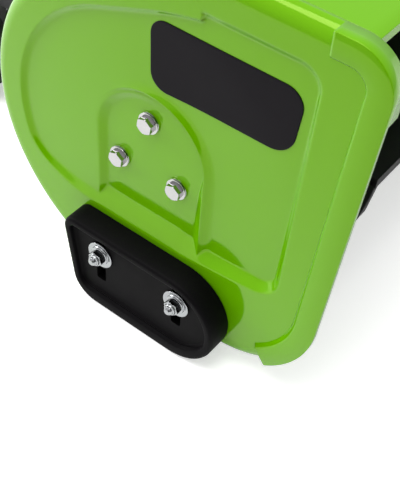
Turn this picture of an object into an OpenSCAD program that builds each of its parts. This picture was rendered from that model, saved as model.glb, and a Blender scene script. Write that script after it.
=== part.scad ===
// Cordless snow shovel: a belt-driven auger head on skid shoes and two wheels, with a battery
// housing behind it and a telescoping shaft that ends in a D-handle with the trigger.
// +X is the machine's left side, -Y its front and +Z up. The origin lies on the ground, in the
// middle of the outline seen from above.

/* [Head] */
// Distance between the two side walls, which is the width that is cleared
clear_w = 310; // [280:1:380]
// Gap between the head's underside and the ground
ground_gap = 7.5; // [6:0.5:12]
// Radius of the round back of the head
drum_r = 100; // [95:0.5:105]
// Radius of the rounded toe at the bottom front of the side walls
toe_r = 60; // [50:1:65]
// Distance from the auger's axis forward to the middle of the toe
toe_y = 48; // [40:1:55]
// Rise of the side walls' top above the round back's radius
hood_rise = 18; // [14:1:24]
// Distance from the auger's axis forward to the middle of the front top corner
brow_y = 97.5; // [90:0.5:110]
// Radius of the front top corner
brow_r = 20; // [19:1:30]
// Thickness of the shroud between the side walls
shroud_t = 4; // [2.5:0.5:5]
// Thickness of a side wall's floor
wall_t = 3.3; // [2.5:0.1:5]
// Height of a side wall's rim above its floor
rim_h = 4.7; // [3:0.1:7]
// Height of the front border strip above the rim
strip_h = 2; // [1:0.1:3]
// Width of the front border strip
strip_w = 11; // [8:1:16]
// Thickness of the free lip that the strip forms along the front edge
lip_t = 2.4; // [1.8:0.1:3]
// Distance that the strip's ends reach back from the middle of the front top corner
strip_return = 16; // [10:1:24]
// Thickness of the scraper bar
scraper_t = 4; // [3:0.5:4.5]
// Width of the scraper bar, from front to rear
scraper_w = 31; // [26:1:36]
// Width of the rim round the recess of the right side wall
rim_w = 18; // [12:1:19]
// Width of the rim in front of that recess
front_rim_w = 28; // [22:1:36]
// Depth of the recess's lower edge below the auger's axis
recess_drop = 41; // [36:1:48]
// Half width of the arched bearing field
arch_r = 36; // [30:1:40]
// Width of the raised rib round the bearing field
rib_w = 4; // [2:0.5:6]
// Height of that rib, and of the step behind the bearing field
rib_h = 2.2; // [1:0.1:3]

/* [Auger] */
// Gap between the auger and the shroud
auger_gap = 3; // [2:0.5:8]
// Radius of the tube that carries the flights
auger_tube_r = 14; // [11:0.5:18]
// Radius of the steel shaft
shaft_r = 7.5; // [6:0.5:9]
// Length along the shaft of one turn of a flight
flight_pitch = 160; // [120:5:220]
// Thickness of a flight along the shaft
flight_t = 4; // [3:0.5:6]
// Direction of the right flight's outer end, in degrees up from straight ahead
flight_start = -100; // [-180:5:180]
// Width of the two straight paddles between the flights
paddle_w = 194; // [120:1:210]
// Thickness of the paddles
paddle_t = 6; // [4:0.5:10]
// Degrees that the paddles are turned up from the flights' inner ends
paddle_turn = 4.6; // [0:0.1:6]
// Thickness of the plate at each end of a paddle
ear_t = 4; // [3:0.5:6]
// Radius of that plate's rounded corner
ear_r = 8; // [4:0.5:12]
// Degrees that the plate reaches ahead of its paddle, to the middle of the rounded corner
ear_reach = 15; // [8:1:24]
// Distance of the plate's inner end from the shaft's middle
ear_root = 50; // [30:1:70]

/* [Skid shoes] */
// Height of a shoe
shoe_h = 57; // [52:1:57]
// Thickness of a shoe, from the wall outwards
shoe_t = 15; // [12:0.5:20]
// Distance from the auger's axis back to a shoe's rear end
shoe_rear_y = 41.5; // [38:0.5:50]
// Distance from the auger's axis forward to a shoe's front end
shoe_front_y = 59.5; // [56:0.5:66]
// Radius of a shoe's rear top corner
shoe_top_r = 8; // [6:0.5:10]
// Radius of a shoe's rear bottom corner
shoe_heel_r = 16; // [12:0.5:20]
// Lean of a shoe's rear edge
shoe_lean = 8.5; // [0:0.5:15]
// Width of a shoe's rim
shoe_rim = 5; // [4:0.5:7]
// Thickness of a shoe's wear sole, above its bottom
shoe_sole = 9; // [7:0.5:12]
// Depth of the panel inside a shoe's outer face
shoe_panel_d = 3; // [1:0.5:4]
// Thickness of that panel
shoe_panel_t = 3.5; // [2.5:0.5:5]
// Width of the slots
slot_w = 6.4; // [6:0.1:7]
// Length of the slots
slot_len = 29; // [20:1:32]
// How much lower the rear slot sits than the front one
slot_step = 3; // [0:0.5:4]
// Distance from the auger's axis back to the rear bolt
bolt_rear_y = 17.5; // [12:0.5:24]
// Distance from the auger's axis forward to the front bolt
bolt_front_y = 34; // [28:0.5:36]
// Height of both bolts above the ground
bolt_lift = 39.5; // [38:0.5:41]

/* [Fasteners] */
// Radius of the bolts' shanks
m5_r = 2.5; // [2.4:0.1:2.6]
// Width across the flats of the hexagons
hex_af = 8; // [7:0.5:10]
// Radius of the flanges under the bearing bolts' heads
flange_r = 5.8; // [5:0.1:7]
// Thickness of those flanges
flange_t = 1.3; // [0.8:0.1:2]
// Height of the bearing bolts' heads, flange included
bolt_head_h = 4.4; // [3:0.1:6]
// Radius of the circle of bearing bolts
bearing_pcd_r = 20.8; // [18.5:0.1:22]
// Radius of the shoes' washers
washer_r = 8.1; // [7:0.1:9]
// Thickness of the shoes' washers
washer_t = 1.2; // [0.8:0.1:2]
// Height of the shoes' lock nuts
nut_h = 5; // [4:0.5:7]
// Length of the bolt ends beyond the lock nuts
bolt_out = 1.8; // [1:0.1:4]

/* [Belt drive] */
// Distance from the round back to the motor's axis
motor_back = 50; // [46:1:55]
// Height of the motor's axis above the auger's axis
motor_z = 60; // [55:1:62]
// Radius of the auger's pulley
big_pulley_r = 29; // [24:0.5:29]
// Radius of the motor's pulley
small_pulley_r = 11; // [9:0.5:13]
// Width of the belt
belt_w = 9; // [6:0.5:10]
// Thickness of the belt
belt_t = 3; // [2:0.5:4]
// Thickness of the steel plate that carries the motor
plate_t = 2.5; // [2:0.5:3]
// Radius of the motor
motor_r = 28; // [24:0.5:29]
// Length of the motor
motor_len = 74; // [60:1:78]
// Height of the belt cover
cover_h = 17.5; // [16:0.5:20]
// Wall of the belt cover
cover_t = 2.5; // [2:0.5:2.5]

/* [Rear housing] */
// Wall of the rear housing
house_t = 3; // [2:0.5:4]
// Reach of the housing to the right of the middle
house_right = 82; // [80:1:95]
// Distance from the round back to the housing's rear face
house_len = 152; // [146:1:160]
// Depth of the housing's bottom below the auger's axis
house_drop = 34; // [30:1:36]
// Height of the housing's top above the auger's axis
house_top = 104; // [100:1:108]
// Height of the seam between the two shells above the auger's axis
seam_z = 38; // [37:0.5:40]
// Radius of the housing's long edges
house_r = 10; // [6:0.5:12]

/* [Battery] */
// Width of the battery pack
pack_w = 76; // [60:1:84]
// Length of the battery pack
pack_len = 128; // [110:1:134]
// Height of the battery pack
pack_h = 62; // [52:1:62]
// Height of the pack's underside above the housing's bottom
pack_lift = 7; // [6:0.5:8]
// Length of the pack that stands out of the housing
pack_out = 26; // [15:1:34]

/* [Wheels] */
// Radius of a wheel
wheel_r = 35; // [30:0.5:38]
// Width of a wheel
wheel_w = 20; // [14:1:24]
// Distance from the round back to the axle
axle_back = 115; // [106:1:125]
// Radius of the axle
axle_r = 5; // [4:0.5:6]
// Distance between the axle's two lugs, outside
lug_span = 150; // [120:1:156]
// Thickness of a lug
lug_t = 9; // [6:0.5:12]

/* [Shaft] */
// Lean of the shaft from upright
tube_lean = 36.87; // [30:0.01:42]
// Outer radius of the lower tube
tube_r = 16; // [14:0.5:18]
// Wall of both tubes
tube_t = 1.4; // [1.2:0.1:2]
// Length of the lower tube above the housing
lower_len = 360; // [300:5:420]
// Length of the upper tube
upper_len = 440; // [380:5:480]
// Length of the upper tube inside the lower one
tube_lap = 130; // [90:5:160]
// Distance along the shaft from the housing to the auxiliary handle
aux_w = 190; // [160:5:220]
// Height of the auxiliary handle's grip above the shaft
aux_h = 118; // [100:1:140]
// Width of the auxiliary handle
aux_span = 120; // [110:1:150]
// Radius of the auxiliary handle's bar
aux_bar_r = 6; // [5:0.5:8]
// Radius of the auxiliary handle's grip
aux_grip_r = 14; // [12:0.5:17]

/* [D-handle] */
// Half width of the D-handle at its crossbar, between the corners' centres
grip_half = 50; // [46:1:60]
// Height of the opening, along the shaft
grip_gap = 46; // [40:1:56]
// Thickness of the crossbar, along the shaft
grip_bar = 32; // [28:1:36]
// Thickness of the whole handle, across
grip_t = 30; // [26:1:34]
// Wall of the handle's shells
grip_wall = 2.5; // [2:0.5:3]
// Travel of the trigger's free end
trigger_travel = 6; // [4:0.5:6]

/* [Fits] */
// Gap between pieces that lie against each other without touching
seat = 0.3; // [0.1:0.05:0.4]
// Radial clearance of a running shaft in its bore
run_gap = 0.05; // [0.02:0.01:0.1]
// Radial clearance of a bolt in its hole
bolt_gap = 0.25; // [0.15:0.05:0.4]

/* [Hidden] */
$fn = 64;

green = [0.36, 0.66, 0.1];
black = [0.13, 0.12, 0.14];
zinc = [0.8, 0.81, 0.83];
steel = [0.55, 0.56, 0.58];

// Heights and distances from the auger's axis
axis_h = drum_r + ground_gap;
top_z = drum_r + hood_rise;
auger_r = drum_r - shroud_t - auger_gap;
bolt_drop = axis_h - bolt_lift;
motor_y = drum_r + motor_back;
house_rear_y = drum_r + house_len;
axle_y = drum_r + axle_back;

// Distances out from the middle, along X
wall_in = clear_w / 2;
floor_x = wall_in + wall_t;
rim_x = floor_x + rim_h;
strip_x = rim_x + strip_h;
shoe_in = rim_x + seat / 2;
shoe_out = rim_x + shoe_t;
panel_x = shoe_out - shoe_panel_d;

// The auger's axis is the middle of the head; the shift makes the origin the middle of the outline
tip_w = lower_len - tube_lap + upper_len + 17 + grip_gap + grip_bar;
front_reach = brow_y + brow_r;
rear_reach = house_rear_y - 31 + tip_w * sin(tube_lean) + grip_t / 2 * cos(tube_lean);
head_y = (front_reach - rear_reach) / 2;

// The head's side outline as circles [y, z, radius], anticlockwise
side = [[-toe_y, toe_r - drum_r, toe_r], [0, 0, drum_r],
        [-34, top_z - brow_r, brow_r], [-brow_y, top_z - brow_r, brow_r]];
strip_rear = strip_return - brow_y;
scraper_front = -toe_y - 3;
shoe_z = [-axis_h, shoe_h - axis_h];
shoe_nose_r = shoe_h / 2;
shoe_top_c = [shoe_rear_y - shoe_top_r, shoe_z[1] - shoe_top_r];
heel_rise = shoe_top_c[1] - (shoe_z[0] + shoe_heel_r);
heel_back = (shoe_top_r - shoe_heel_r - sin(shoe_lean) * heel_rise) / cos(shoe_lean);
shoe = [[-shoe_front_y + shoe_nose_r, shoe_z[0] + shoe_nose_r, shoe_nose_r],
        [shoe_top_c[0] + heel_back, shoe_z[0] + shoe_heel_r, shoe_heel_r],
        [shoe_top_c[0], shoe_top_c[1], shoe_top_r]];
slot_mid = -bolt_drop - 2.5;
shoe_bolt_at = [[bolt_rear_y, -bolt_drop], [-bolt_front_y, -bolt_drop]];

// Auger bearings: outer radius and width
bearing = [16, 9];

// Belt drive
plate_x = rim_x;
pulley_x = plate_x + plate_t + 3;
belt_line = [[0, 0, big_pulley_r], [motor_y, motor_z, small_pulley_r]];
cover_gap = belt_t + cover_t + 1.8;
cover_line = [[0, 0, big_pulley_r + cover_gap], [motor_y, motor_z, small_pulley_r + cover_gap + 4]];
plate_ear = 8;
plate_line = [cover_line[0], cover_line[1], [8, 46, plate_ear], [-44, 14, plate_ear]];
plate_screw_at = [[8, 46], [-44, 14], between(80, 0)];
cover_screw_at = [between(52, 12), between(52, -12), between(118, 0)];
cover_out = plate_x + plate_t + cover_h;
head_sink = 2.4;
motor_front = plate_x - seat;
flight_x = wall_in - bearing[1] - 5.5;
auger_end = flight_x - 2;
auger_bolt_x = auger_end - 8;
auger_bolt_turn = flight_start + 360 * (flight_x - auger_bolt_x) / flight_pitch;

// Rear housing
house_front = 0.6 * drum_r;
house_left = plate_x - seat;
house_slope = [60, 44];
house = [[house_front + house_r, -house_drop + house_r, house_r],
         [house_rear_y - house_r, -house_drop + house_r, house_r],
         [house_rear_y - house_r, house_top - house_slope[1] - house_r, house_r],
         [house_rear_y - house_slope[0], house_top - house_r, house_r],
         [drum_r + 28, house_top - house_r, house_r],
         [house_front + house_r, house_top - 32 - house_r, house_r]];
axle_z = wheel_r - axis_h;
housing_bolt_x = [-60, 40, 130];
pack_z = pack_lift - house_drop;
pack_y = [house_rear_y + pack_out - pack_len, house_rear_y + pack_out];
lug_x = lug_span / 2;
wheel_in = lug_x + 1;
wheel_out = wheel_in + wheel_w;
axle_end = wheel_out + 4;

// Shaft: w runs along it from the housing's sloping face
tube_foot = [0, house_rear_y - house_slope[0] / 2 - 1, house_top - house_slope[1] / 2];
lower_foot = -30;
upper_r = tube_r - tube_t - 0.1;
upper_foot = lower_len - tube_lap;
upper_top = upper_foot + upper_len;
collar_w = [lower_len - 26, lower_len + 24];
collar_r = tube_r + 6;
aux_leg_x = aux_span / 2 - aux_bar_r - 2;

// D-handle, in the plane of X and the shaft
neck_w = upper_top + 3;
gap_w = [neck_w + 14, neck_w + 14 + grip_gap];
bar_top = gap_w[1] + grip_bar;
corner_r = 18;
d_outer = [[18, neck_w + 6, 6], [grip_half, bar_top - corner_r, corner_r],
           [-grip_half, bar_top - corner_r, corner_r], [-18, neck_w + 6, 6]];
d_gap = [[14, gap_w[0] + 6, 6], [grip_half - 8, gap_w[1] - 9, 9],
         [8 - grip_half, gap_w[1] - 9, 9], [-14, gap_w[0] + 6, 6]];
trigger_pivot = [-grip_half + 16, gap_w[1] + 5];
handle_screw_at = [[-10, neck_w + 9.5], [10, neck_w + 9.5],
                   [grip_half + 4, bar_top - 18], [-26, bar_top - 8]];
lock_at = [-grip_half - 1, bar_top - 17];

// Angle of the outward normal of the straight edge from circle p to circle q
function edge_angle(p, q) =
    let (d = [q[0] - p[0], q[1] - p[1]])
    atan2(d[1], d[0]) - 90 + asin((p[2] - q[2]) / norm(d));

// Outline round a ring of circles, given anticlockwise, drawn inside it by inset
function loop(circles, inset = 0) =
    let (n = len(circles))
    [for (i = [0:n - 1])
        let (c = circles[i],
             a0 = edge_angle(circles[(i + n - 1) % n], c),
             turn = edge_angle(c, circles[(i + 1) % n]) - a0,
             sweep = turn - 360 * floor(turn / 360),
             steps = max(1, ceil(sweep / 6)))
        for (k = [0:steps])
            let (a = a0 + sweep * k / steps)
            [c[0] + (c[2] - inset) * cos(a), c[1] + (c[2] - inset) * sin(a)]];

// Y of the side walls' front edge at a height z
function front_edge_y(z) =
    let (a = edge_angle(side[3], side[0]),
         reach = cos(a) * side[0][0] + sin(a) * side[0][1] + side[0][2])
    (reach - sin(a) * z) / cos(a);

// Place between the belt's strands: t along the line from the auger to the motor, s across it
function between(t, s) =
    let (d = [motor_y, motor_z] / norm([motor_y, motor_z]))
    [t * d[0] - s * d[1], t * d[1] + s * d[0]];

// Put children at the auger's axis
module at_axis() { translate([0, head_y, axis_h]) children(); }

// Put children on the shaft, with +Z along it
module at_tube() { at_axis() translate(tube_foot) rotate([-tube_lean, 0, 0]) children(); }

// Extrude a profile drawn in Y and Z from x0 to x1
module along_x(x0, x1) { translate([x0, 0, 0]) rotate([90, 0, 90]) linear_extrude(x1 - x0) children(); }

// Extrude a profile drawn in X and Z from y0 to y1
module along_y(y0, y1) { translate([0, y1, 0]) rotate([90, 0, 0]) linear_extrude(y1 - y0) children(); }

// Round bar along X at [y, z]
module x_bar(r, x0, x1, at = [0, 0]) {
    translate([x0, at[0], at[1]]) rotate([0, 90, 0]) cylinder(r = r, h = x1 - x0);
}

// Hexagon bar along X at [y, z]
module x_hex(x0, x1, at) {
    translate([x0, at[0], at[1]]) rotate([0, 90, 0]) cylinder(r = hex_af / sqrt(3), h = x1 - x0, $fn = 6);
}

// Repeat for both sides of the machine
module both_sides() { children(); mirror([1, 0, 0]) children(); }

// Three places of a circle, the first at the top
module bearing_places() {
    for (a = [90, 210, 330])
        translate([0, bearing_pcd_r * cos(a), bearing_pcd_r * sin(a)]) children();
}

module arch_field(r) {
    circle(r);
    translate([-r, -recess_drop]) square([2 * r, recess_drop]);
}

// Recess of the right side wall, seen from the side
module recess_shape() {
    front = front_rim_w;
    intersection() {
        polygon(loop(side, rim_w));
        polygon([[front_edge_y(-recess_drop) + front, -recess_drop], [drum_r, -recess_drop],
                 [drum_r, top_z], [front_edge_y(top_z) + front, top_z]]);
    }
}

// Border along the front edge and round the toe
module strip_shape() {
    difference() {
        polygon(loop(side));
        polygon(loop(side, strip_w));
        translate([strip_rear, -drum_r]) square([2 * drum_r + brow_y, 3 * drum_r]);
    }
}

// Space behind the front strip, below the hood, where the wall is only a lip
module lip_space() {
    lip_root = 2;
    difference() {
        polygon(loop(side, -1));
        polygon(loop(side, strip_w - lip_root));
        translate([strip_rear, -drum_r]) square([2 * drum_r + brow_y, 3 * drum_r]);
        translate([-2 * drum_r, top_z - brow_r]) square([2 * drum_r, 2 * drum_r]);
    }
}

// A plain side wall on the left, with its holes
module wall_blank(thick) {
    difference() {
        union() {
            along_x(wall_in, wall_in + thick) polygon(loop(side));
            along_x(rim_x - 0.5, strip_x) strip_shape();
        }
        along_x(wall_in - 1, strip_x - lip_t) lip_space();
        bearing_places() x_bar(m5_r + bolt_gap, wall_in - 1, strip_x + 1);
        for (p = shoe_bolt_at) x_bar(m5_r + bolt_gap, wall_in - 1, strip_x + 1, p);
    }
}

module right_side_wall() {
    color(green) at_axis() mirror([1, 0, 0]) {
        difference() {
            wall_blank(wall_t + rim_h);
            difference() {
                along_x(floor_x, strip_x + 1) recess_shape();
                along_x(floor_x - 1, floor_x + rib_h) intersection() {
                    recess_shape();
                    union() {
                        difference() {
                            arch_field(arch_r + rib_w / 2);
                            arch_field(arch_r - rib_w / 2);
                        }
                        translate([arch_r - rib_w, -recess_drop]) square([drum_r, recess_drop + top_z]);
                    }
                }
            }
        }
    }
}

module left_side_wall() {
    color(green) at_axis() difference() {
        wall_blank(wall_t + rim_h);
        x_bar(shaft_r + 2, wall_in - 1, rim_x + 1);
        bearing_places() x_bar(flange_r + 0.5, floor_x, rim_x + 1);
        for (p = plate_screw_at) x_bar(m5_r + bolt_gap, wall_in - 1, rim_x + 1, p);
    }
}

module auger_shroud() {
    lip_y = scraper_front + scraper_t;
    color(green) at_axis() difference() {
        along_x(-wall_in, wall_in) difference() {
            polygon(loop(side));
            polygon(loop(side, shroud_t));
            translate([-2 * drum_r, -2 * drum_r]) square([2 * drum_r + lip_y, 2 * drum_r]);
            translate([-2 * drum_r, -1]) square([2 * drum_r - brow_y - 6, 2 * drum_r]);
        }
        for (x = housing_bolt_x) translate([x, drum_r - shroud_t - 2, 0]) rotate([-90, 0, 0])
            cylinder(r = m5_r + bolt_gap, h = shroud_t + 4);
        scraper_screw_places() translate([0, 0, -drum_r - 1])
            cylinder(r = m5_r + bolt_gap, h = shroud_t + 2);
    }
}

// Places of the scraper bar's four screws
module scraper_screw_places() {
    for (x = [-120, -40, 40, 120]) translate([x, scraper_front + 11, 0]) children();
}

module scraper_bar() {
    z0 = -drum_r - scraper_t;
    rear = scraper_front + scraper_w;
    color(black) at_axis() difference() {
        along_x(seat - wall_in, wall_in - seat)
            polygon([[scraper_front, z0], [rear, z0],
                     [rear, -drum_r], [scraper_front + scraper_t, -drum_r]]);
        scraper_screw_places() translate([0, 0, z0 - 1])
            cylinder(r = m5_r + bolt_gap, h = scraper_t + 2);
    }
}

module scraper_screws() {
    z0 = -drum_r - scraper_t;
    z1 = shroud_t - drum_r;
    color(zinc) at_axis() scraper_screw_places() {
        translate([0, 0, z0]) cylinder(r = m5_r, h = z1 - z0);
        translate([0, 0, z1]) cylinder(r = 4.5, h = 2.4);
    }
}

// Curved fins under the hood that steer the thrown snow
module snow_vanes() {
    roof = top_z - shroud_t - seat;
    color(black) at_axis() for (x = [-90, -30, 30, 90])
        along_x(x - 1.5, x + 1.5)
            polygon([[-brow_y + 4, roof], [-34, roof], [-42, auger_r + 5], [-brow_y + 24, auger_r + 5]]);
}

// Bare plate on the right side wall, above the bearing field
module side_label() {
    z0 = 46;
    z1 = 84;
    r = 9;
    rear = -2;
    y0 = front_edge_y(z0) + front_rim_w + 4.5;
    y1 = front_edge_y(z1) + front_rim_w + 4.5;
    color(black) at_axis() mirror([1, 0, 0]) along_x(floor_x + seat / 3, floor_x + 0.6)
        polygon(loop([[y0 + r, z0 + r, r], [rear - r, z0 + r, r],
                      [rear - r, z1 - r, r], [y1 + r, z1 - r, r]]));
}

module shoe_bolts() {
    end = panel_x + washer_t + nut_h + bolt_out;
    color(zinc) at_axis() both_sides() for (p = shoe_bolt_at) {
        x_bar(m5_r, wall_in - 1, end, p);
        x_bar(6, wall_in - 3, wall_in - seat / 3, p);
    }
}

module shoe_washers() {
    color(zinc) at_axis() both_sides() for (p = shoe_bolt_at) difference() {
        x_bar(washer_r, panel_x + seat / 3, panel_x + washer_t, p);
        x_bar(m5_r + 0.2, panel_x - 1, panel_x + washer_t + 1, p);
    }
}

module shoe_nuts() {
    x0 = panel_x + washer_t;
    color(zinc) at_axis() both_sides() for (p = shoe_bolt_at) difference() {
        union() {
            x_hex(x0, x0 + 0.7 * nut_h, p);
            x_bar(0.42 * hex_af, x0 + 0.6 * nut_h, x0 + nut_h, p);
        }
        x_bar(m5_r + 0.05, x0 - 1, x0 + nut_h + 1, p);
    }
}

// Cup inside a side wall that holds one ball bearing
module bearing_cup(through) {
    depth = bearing[1] + 4;
    difference() {
        along_x(wall_in - depth, wall_in) difference() {
            circle(bearing_pcd_r + 6);
            if (through) circle(shaft_r + 2);
        }
        x_bar(bearing[0] + 0.02, wall_in - depth - 1, wall_in - 4);
        bearing_places() x_bar(m5_r + 0.05, wall_in - depth + 2, wall_in + 1);
    }
}

module right_bearing_housing() { color(steel) at_axis() mirror([1, 0, 0]) bearing_cup(false); }

module left_bearing_housing() { color(steel) at_axis() bearing_cup(true); }

module bearing_bolts() {
    color(zinc) at_axis() both_sides() bearing_places() {
        x_bar(m5_r, wall_in - 10, floor_x + 1);
        x_bar(flange_r, floor_x, floor_x + flange_t);
        x_hex(floor_x + flange_t - 0.1, floor_x + bolt_head_h, [0, 0]);
    }
}

module auger_bearings() {
    color(steel) at_axis() both_sides() difference() {
        x_bar(bearing[0], wall_in - 4 - bearing[1], wall_in - 4 - seat / 3);
        x_bar(shaft_r + run_gap, wall_in - 14, wall_in);
    }
}

module drive_plate() {
    color(steel) at_axis() difference() {
        along_x(plate_x, plate_x + plate_t) polygon(loop(plate_line));
        x_bar(shaft_r + 2, plate_x - 1, pulley_x);
        x_bar(9, plate_x - 1, pulley_x, [motor_y, motor_z]);
        bearing_places() x_bar(flange_r + 0.5, plate_x - 1, pulley_x);
        for (p = plate_screw_at) x_bar(m5_r + bolt_gap, plate_x - 1, pulley_x, p);
        for (s = [-1, 1]) x_bar(2.2, plate_x - 1, pulley_x, [motor_y + 15 * s, motor_z]);
        for (p = cover_screw_at) x_bar(1.55, plate_x - 1, pulley_x, p);
    }
}

module plate_screws() {
    color(zinc) at_axis() for (p = plate_screw_at) {
        x_bar(m5_r, wall_in - 2, plate_x + plate_t + 1, p);
        x_bar(4.5, plate_x + plate_t, plate_x + plate_t + 2.2, p);
        x_bar(4.5, wall_in - 4, wall_in, p);
    }
}

module motor_can() {
    color(steel) at_axis() difference() {
        union() {
            x_bar(motor_r, motor_front - motor_len, motor_front, [motor_y, motor_z]);
            x_bar(8.5, motor_front - 1, plate_x + plate_t, [motor_y, motor_z]);
            x_bar(10, motor_front - motor_len - 4, motor_front - motor_len + 1, [motor_y, motor_z]);
        }
        x_bar(motor_r - 3, motor_front - motor_len + 3, motor_front - 4, [motor_y, motor_z]);
        x_bar(4 + run_gap, motor_front - motor_len - 5, pulley_x, [motor_y, motor_z]);
        for (s = [-1, 1]) x_bar(2, motor_front - 9, motor_front + 1, [motor_y + 15 * s, motor_z]);
    }
}

module motor_screws() {
    color(zinc) at_axis() for (s = [-1, 1]) {
        at = [motor_y + 15 * s, motor_z];
        x_bar(1.95, motor_front - 7, plate_x + plate_t + 1, at);
        x_bar(3.5, plate_x + plate_t, plate_x + plate_t + 2, at);
    }
}

module drive_belt() {
    x0 = pulley_x + 1;
    color(black) at_axis() along_x(x0, x0 + belt_w) difference() {
        polygon(loop(belt_line, -seat - belt_t));
        polygon(loop(belt_line, -seat));
    }
}

module belt_cover() {
    x0 = plate_x + plate_t;
    color(black) at_axis() difference() {
        along_x(x0, cover_out) polygon(loop(cover_line));
        difference() {
            along_x(x0 - 1, cover_out - cover_t) polygon(loop(cover_line, cover_t));
            for (p = cover_screw_at) x_bar(4.5, x0 - 2, cover_out, p);
        }
        for (p = cover_screw_at) {
            x_bar(1.7, x0 - 1, cover_out, p);
            x_bar(3.1, cover_out - head_sink, cover_out + 1, p);
        }
    }
}

module cover_screws() {
    color(zinc) at_axis() for (p = cover_screw_at) {
        x_bar(1.5, plate_x + 0.2, cover_out - head_sink + 0.2, p);
        x_bar(2.8, cover_out - head_sink, cover_out - 0.4, p);
    }
}

// Both shells of the rear housing in one
module house_shell() {
    difference() {
        along_x(-house_right, house_left) difference() {
            polygon(loop(house));
            circle(drum_r + seat, $fn = 180);
        }
        along_x(house_t - house_right, house_left - house_t) difference() {
            polygon(loop(house, house_t));
            circle(drum_r + seat + house_t, $fn = 180);
        }
        x_bar(motor_r + 0.5, house_left - 2 * house_t, house_left + 1, [motor_y, motor_z]);
        for (x = housing_bolt_x) translate([x, drum_r - 1, 0]) rotate([-90, 0, 0])
            cylinder(r = m5_r + bolt_gap, h = house_t + 3);
    }
}

module split_box(z0, z1) {
    translate([-2 * drum_r, 0, z0]) cube([4 * drum_r, 2 * house_rear_y, z1 - z0]);
}

module lower_rear_housing() {
    bay = 0.8;
    lug_top = house_t - 6 - house_drop;
    color(black) at_axis() difference() {
        union() {
            intersection() {
                house_shell();
                split_box(-2 * house_drop, seam_z);
            }
            both_sides() along_x(lug_x - lug_t, lug_x)
                polygon(loop([[axle_y, axle_z, 11], [axle_y + 16, lug_top, 6], [axle_y - 16, lug_top, 6]]));
            for (x = [-30, 24]) translate([x, pack_y[0], house_t / 2 - house_drop])
                cube([6, house_rear_y - house_t - pack_y[0] + 1, pack_z - seat + house_drop - house_t / 2]);
        }
        translate([-pack_w / 2 - bay, house_rear_y - 2 * house_t, pack_z - bay])
            cube([pack_w + 2 * bay, 3 * house_t, pack_h + 2 * bay]);
        x_bar(axle_r + run_gap, -lug_x - 1, lug_x + 1, [axle_y, axle_z]);
    }
}

module upper_rear_housing() {
    color(green) difference() {
        union() {
            at_axis() intersection() {
                house_shell();
                split_box(seam_z, 2 * house_top);
            }
            at_tube() translate([0, 0, lower_foot - 4]) cylinder(r = tube_r + 6, h = 40 - lower_foot);
        }
        at_tube() {
            translate([0, 0, lower_foot]) cylinder(r = tube_r + run_gap, h = 50 - lower_foot);
            translate([0, 0, lower_foot - 5]) cylinder(r = tube_r - 5, h = 10);
            x_bar(3 + bolt_gap, -tube_r - 8, tube_r + 8, [0, 22]);
        }
    }
}

module housing_bolts() {
    inside = drum_r - shroud_t - 0.2;
    nut_y = drum_r + seat + house_t + 0.2;
    color(zinc) at_axis() for (x = housing_bolt_x) translate([x, 0, 0]) rotate([-90, 0, 0]) {
        translate([0, 0, inside - 1]) cylinder(r = m5_r, h = nut_y + 6 - inside);
        translate([0, 0, inside - 1.6]) cylinder(r = 4.2, h = 1.6);
        translate([0, 0, nut_y]) cylinder(r = hex_af / sqrt(3), h = 4, $fn = 6);
    }
}

module control_board() {
    color("darkgreen") at_axis() translate([-60, drum_r + 20, house_top - house_t - 24]) {
        cube([70, 50, 1.6]);
        for (x = [6, 28, 50]) translate([x, 8, 1.6]) cube([14, 30, 9]);
        for (x = [3, 63]) translate([x, 22, 1.6]) cylinder(r = 2.5, h = 24 - 1.6 - seat);
    }
}

module terminal_block() {
    color(black) at_axis() translate([-28, pack_y[0] - 14, pack_z + 12]) {
        cube([56, 13.5, 26]);
        for (x = [8, 24, 40]) translate([x, 13, 4]) cube([2, 10, 16]);
        for (x = [10, 40]) translate([x, 2, -pack_z - 12 - house_drop + house_t + seat])
            cube([6, 8, pack_z + 12.5 + house_drop - house_t - seat]);
    }
}

module axle() { color(zinc) at_axis() x_bar(axle_r, -axle_end, axle_end, [axle_y, axle_z]); }

module axle_clips() {
    color(steel) at_axis() both_sides() difference() {
        x_bar(axle_r + 4, wheel_out + 0.5, wheel_out + 2, [axle_y, axle_z]);
        x_bar(axle_r + run_gap, wheel_out, wheel_out + 3, [axle_y, axle_z]);
    }
}

module wheel() {
    color(black) difference() {
        union() {
            x_bar(wheel_r - 8, wheel_in + 7, wheel_out - 7, [axle_y, axle_z]);
            x_bar(10, wheel_in, wheel_out, [axle_y, axle_z]);
            along_x(wheel_in + 2, wheel_out - 2) translate([axle_y, axle_z]) difference() {
                circle(wheel_r - 8);
                circle(wheel_r - 12);
            }
        }
        x_bar(axle_r + run_gap, wheel_in - 1, wheel_out + 1, [axle_y, axle_z]);
        for (a = [0:60:300])
            x_bar(4.5, wheel_in, wheel_out, [axle_y + 17 * cos(a), axle_z + 17 * sin(a)]);
    }
}

module tyre() {
    color("dimgray") along_x(wheel_in + 1, wheel_out - 1) translate([axle_y, axle_z]) difference() {
        circle(wheel_r);
        circle(wheel_r - 8);
    }
}

module right_wheel() { at_axis() mirror([1, 0, 0]) wheel(); }
module left_wheel() { at_axis() wheel(); }
module right_tyre() { at_axis() mirror([1, 0, 0]) tyre(); }
module left_tyre() { at_axis() tyre(); }

module lower_tube() {
    color(black) at_tube() difference() {
        translate([0, 0, lower_foot]) cylinder(r = tube_r, h = lower_len - lower_foot);
        translate([0, 0, lower_foot - 1]) cylinder(r = tube_r - tube_t, h = lower_len - lower_foot + 2);
        x_bar(3 + bolt_gap, -tube_r - 1, tube_r + 1, [0, 22]);
    }
}

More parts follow.
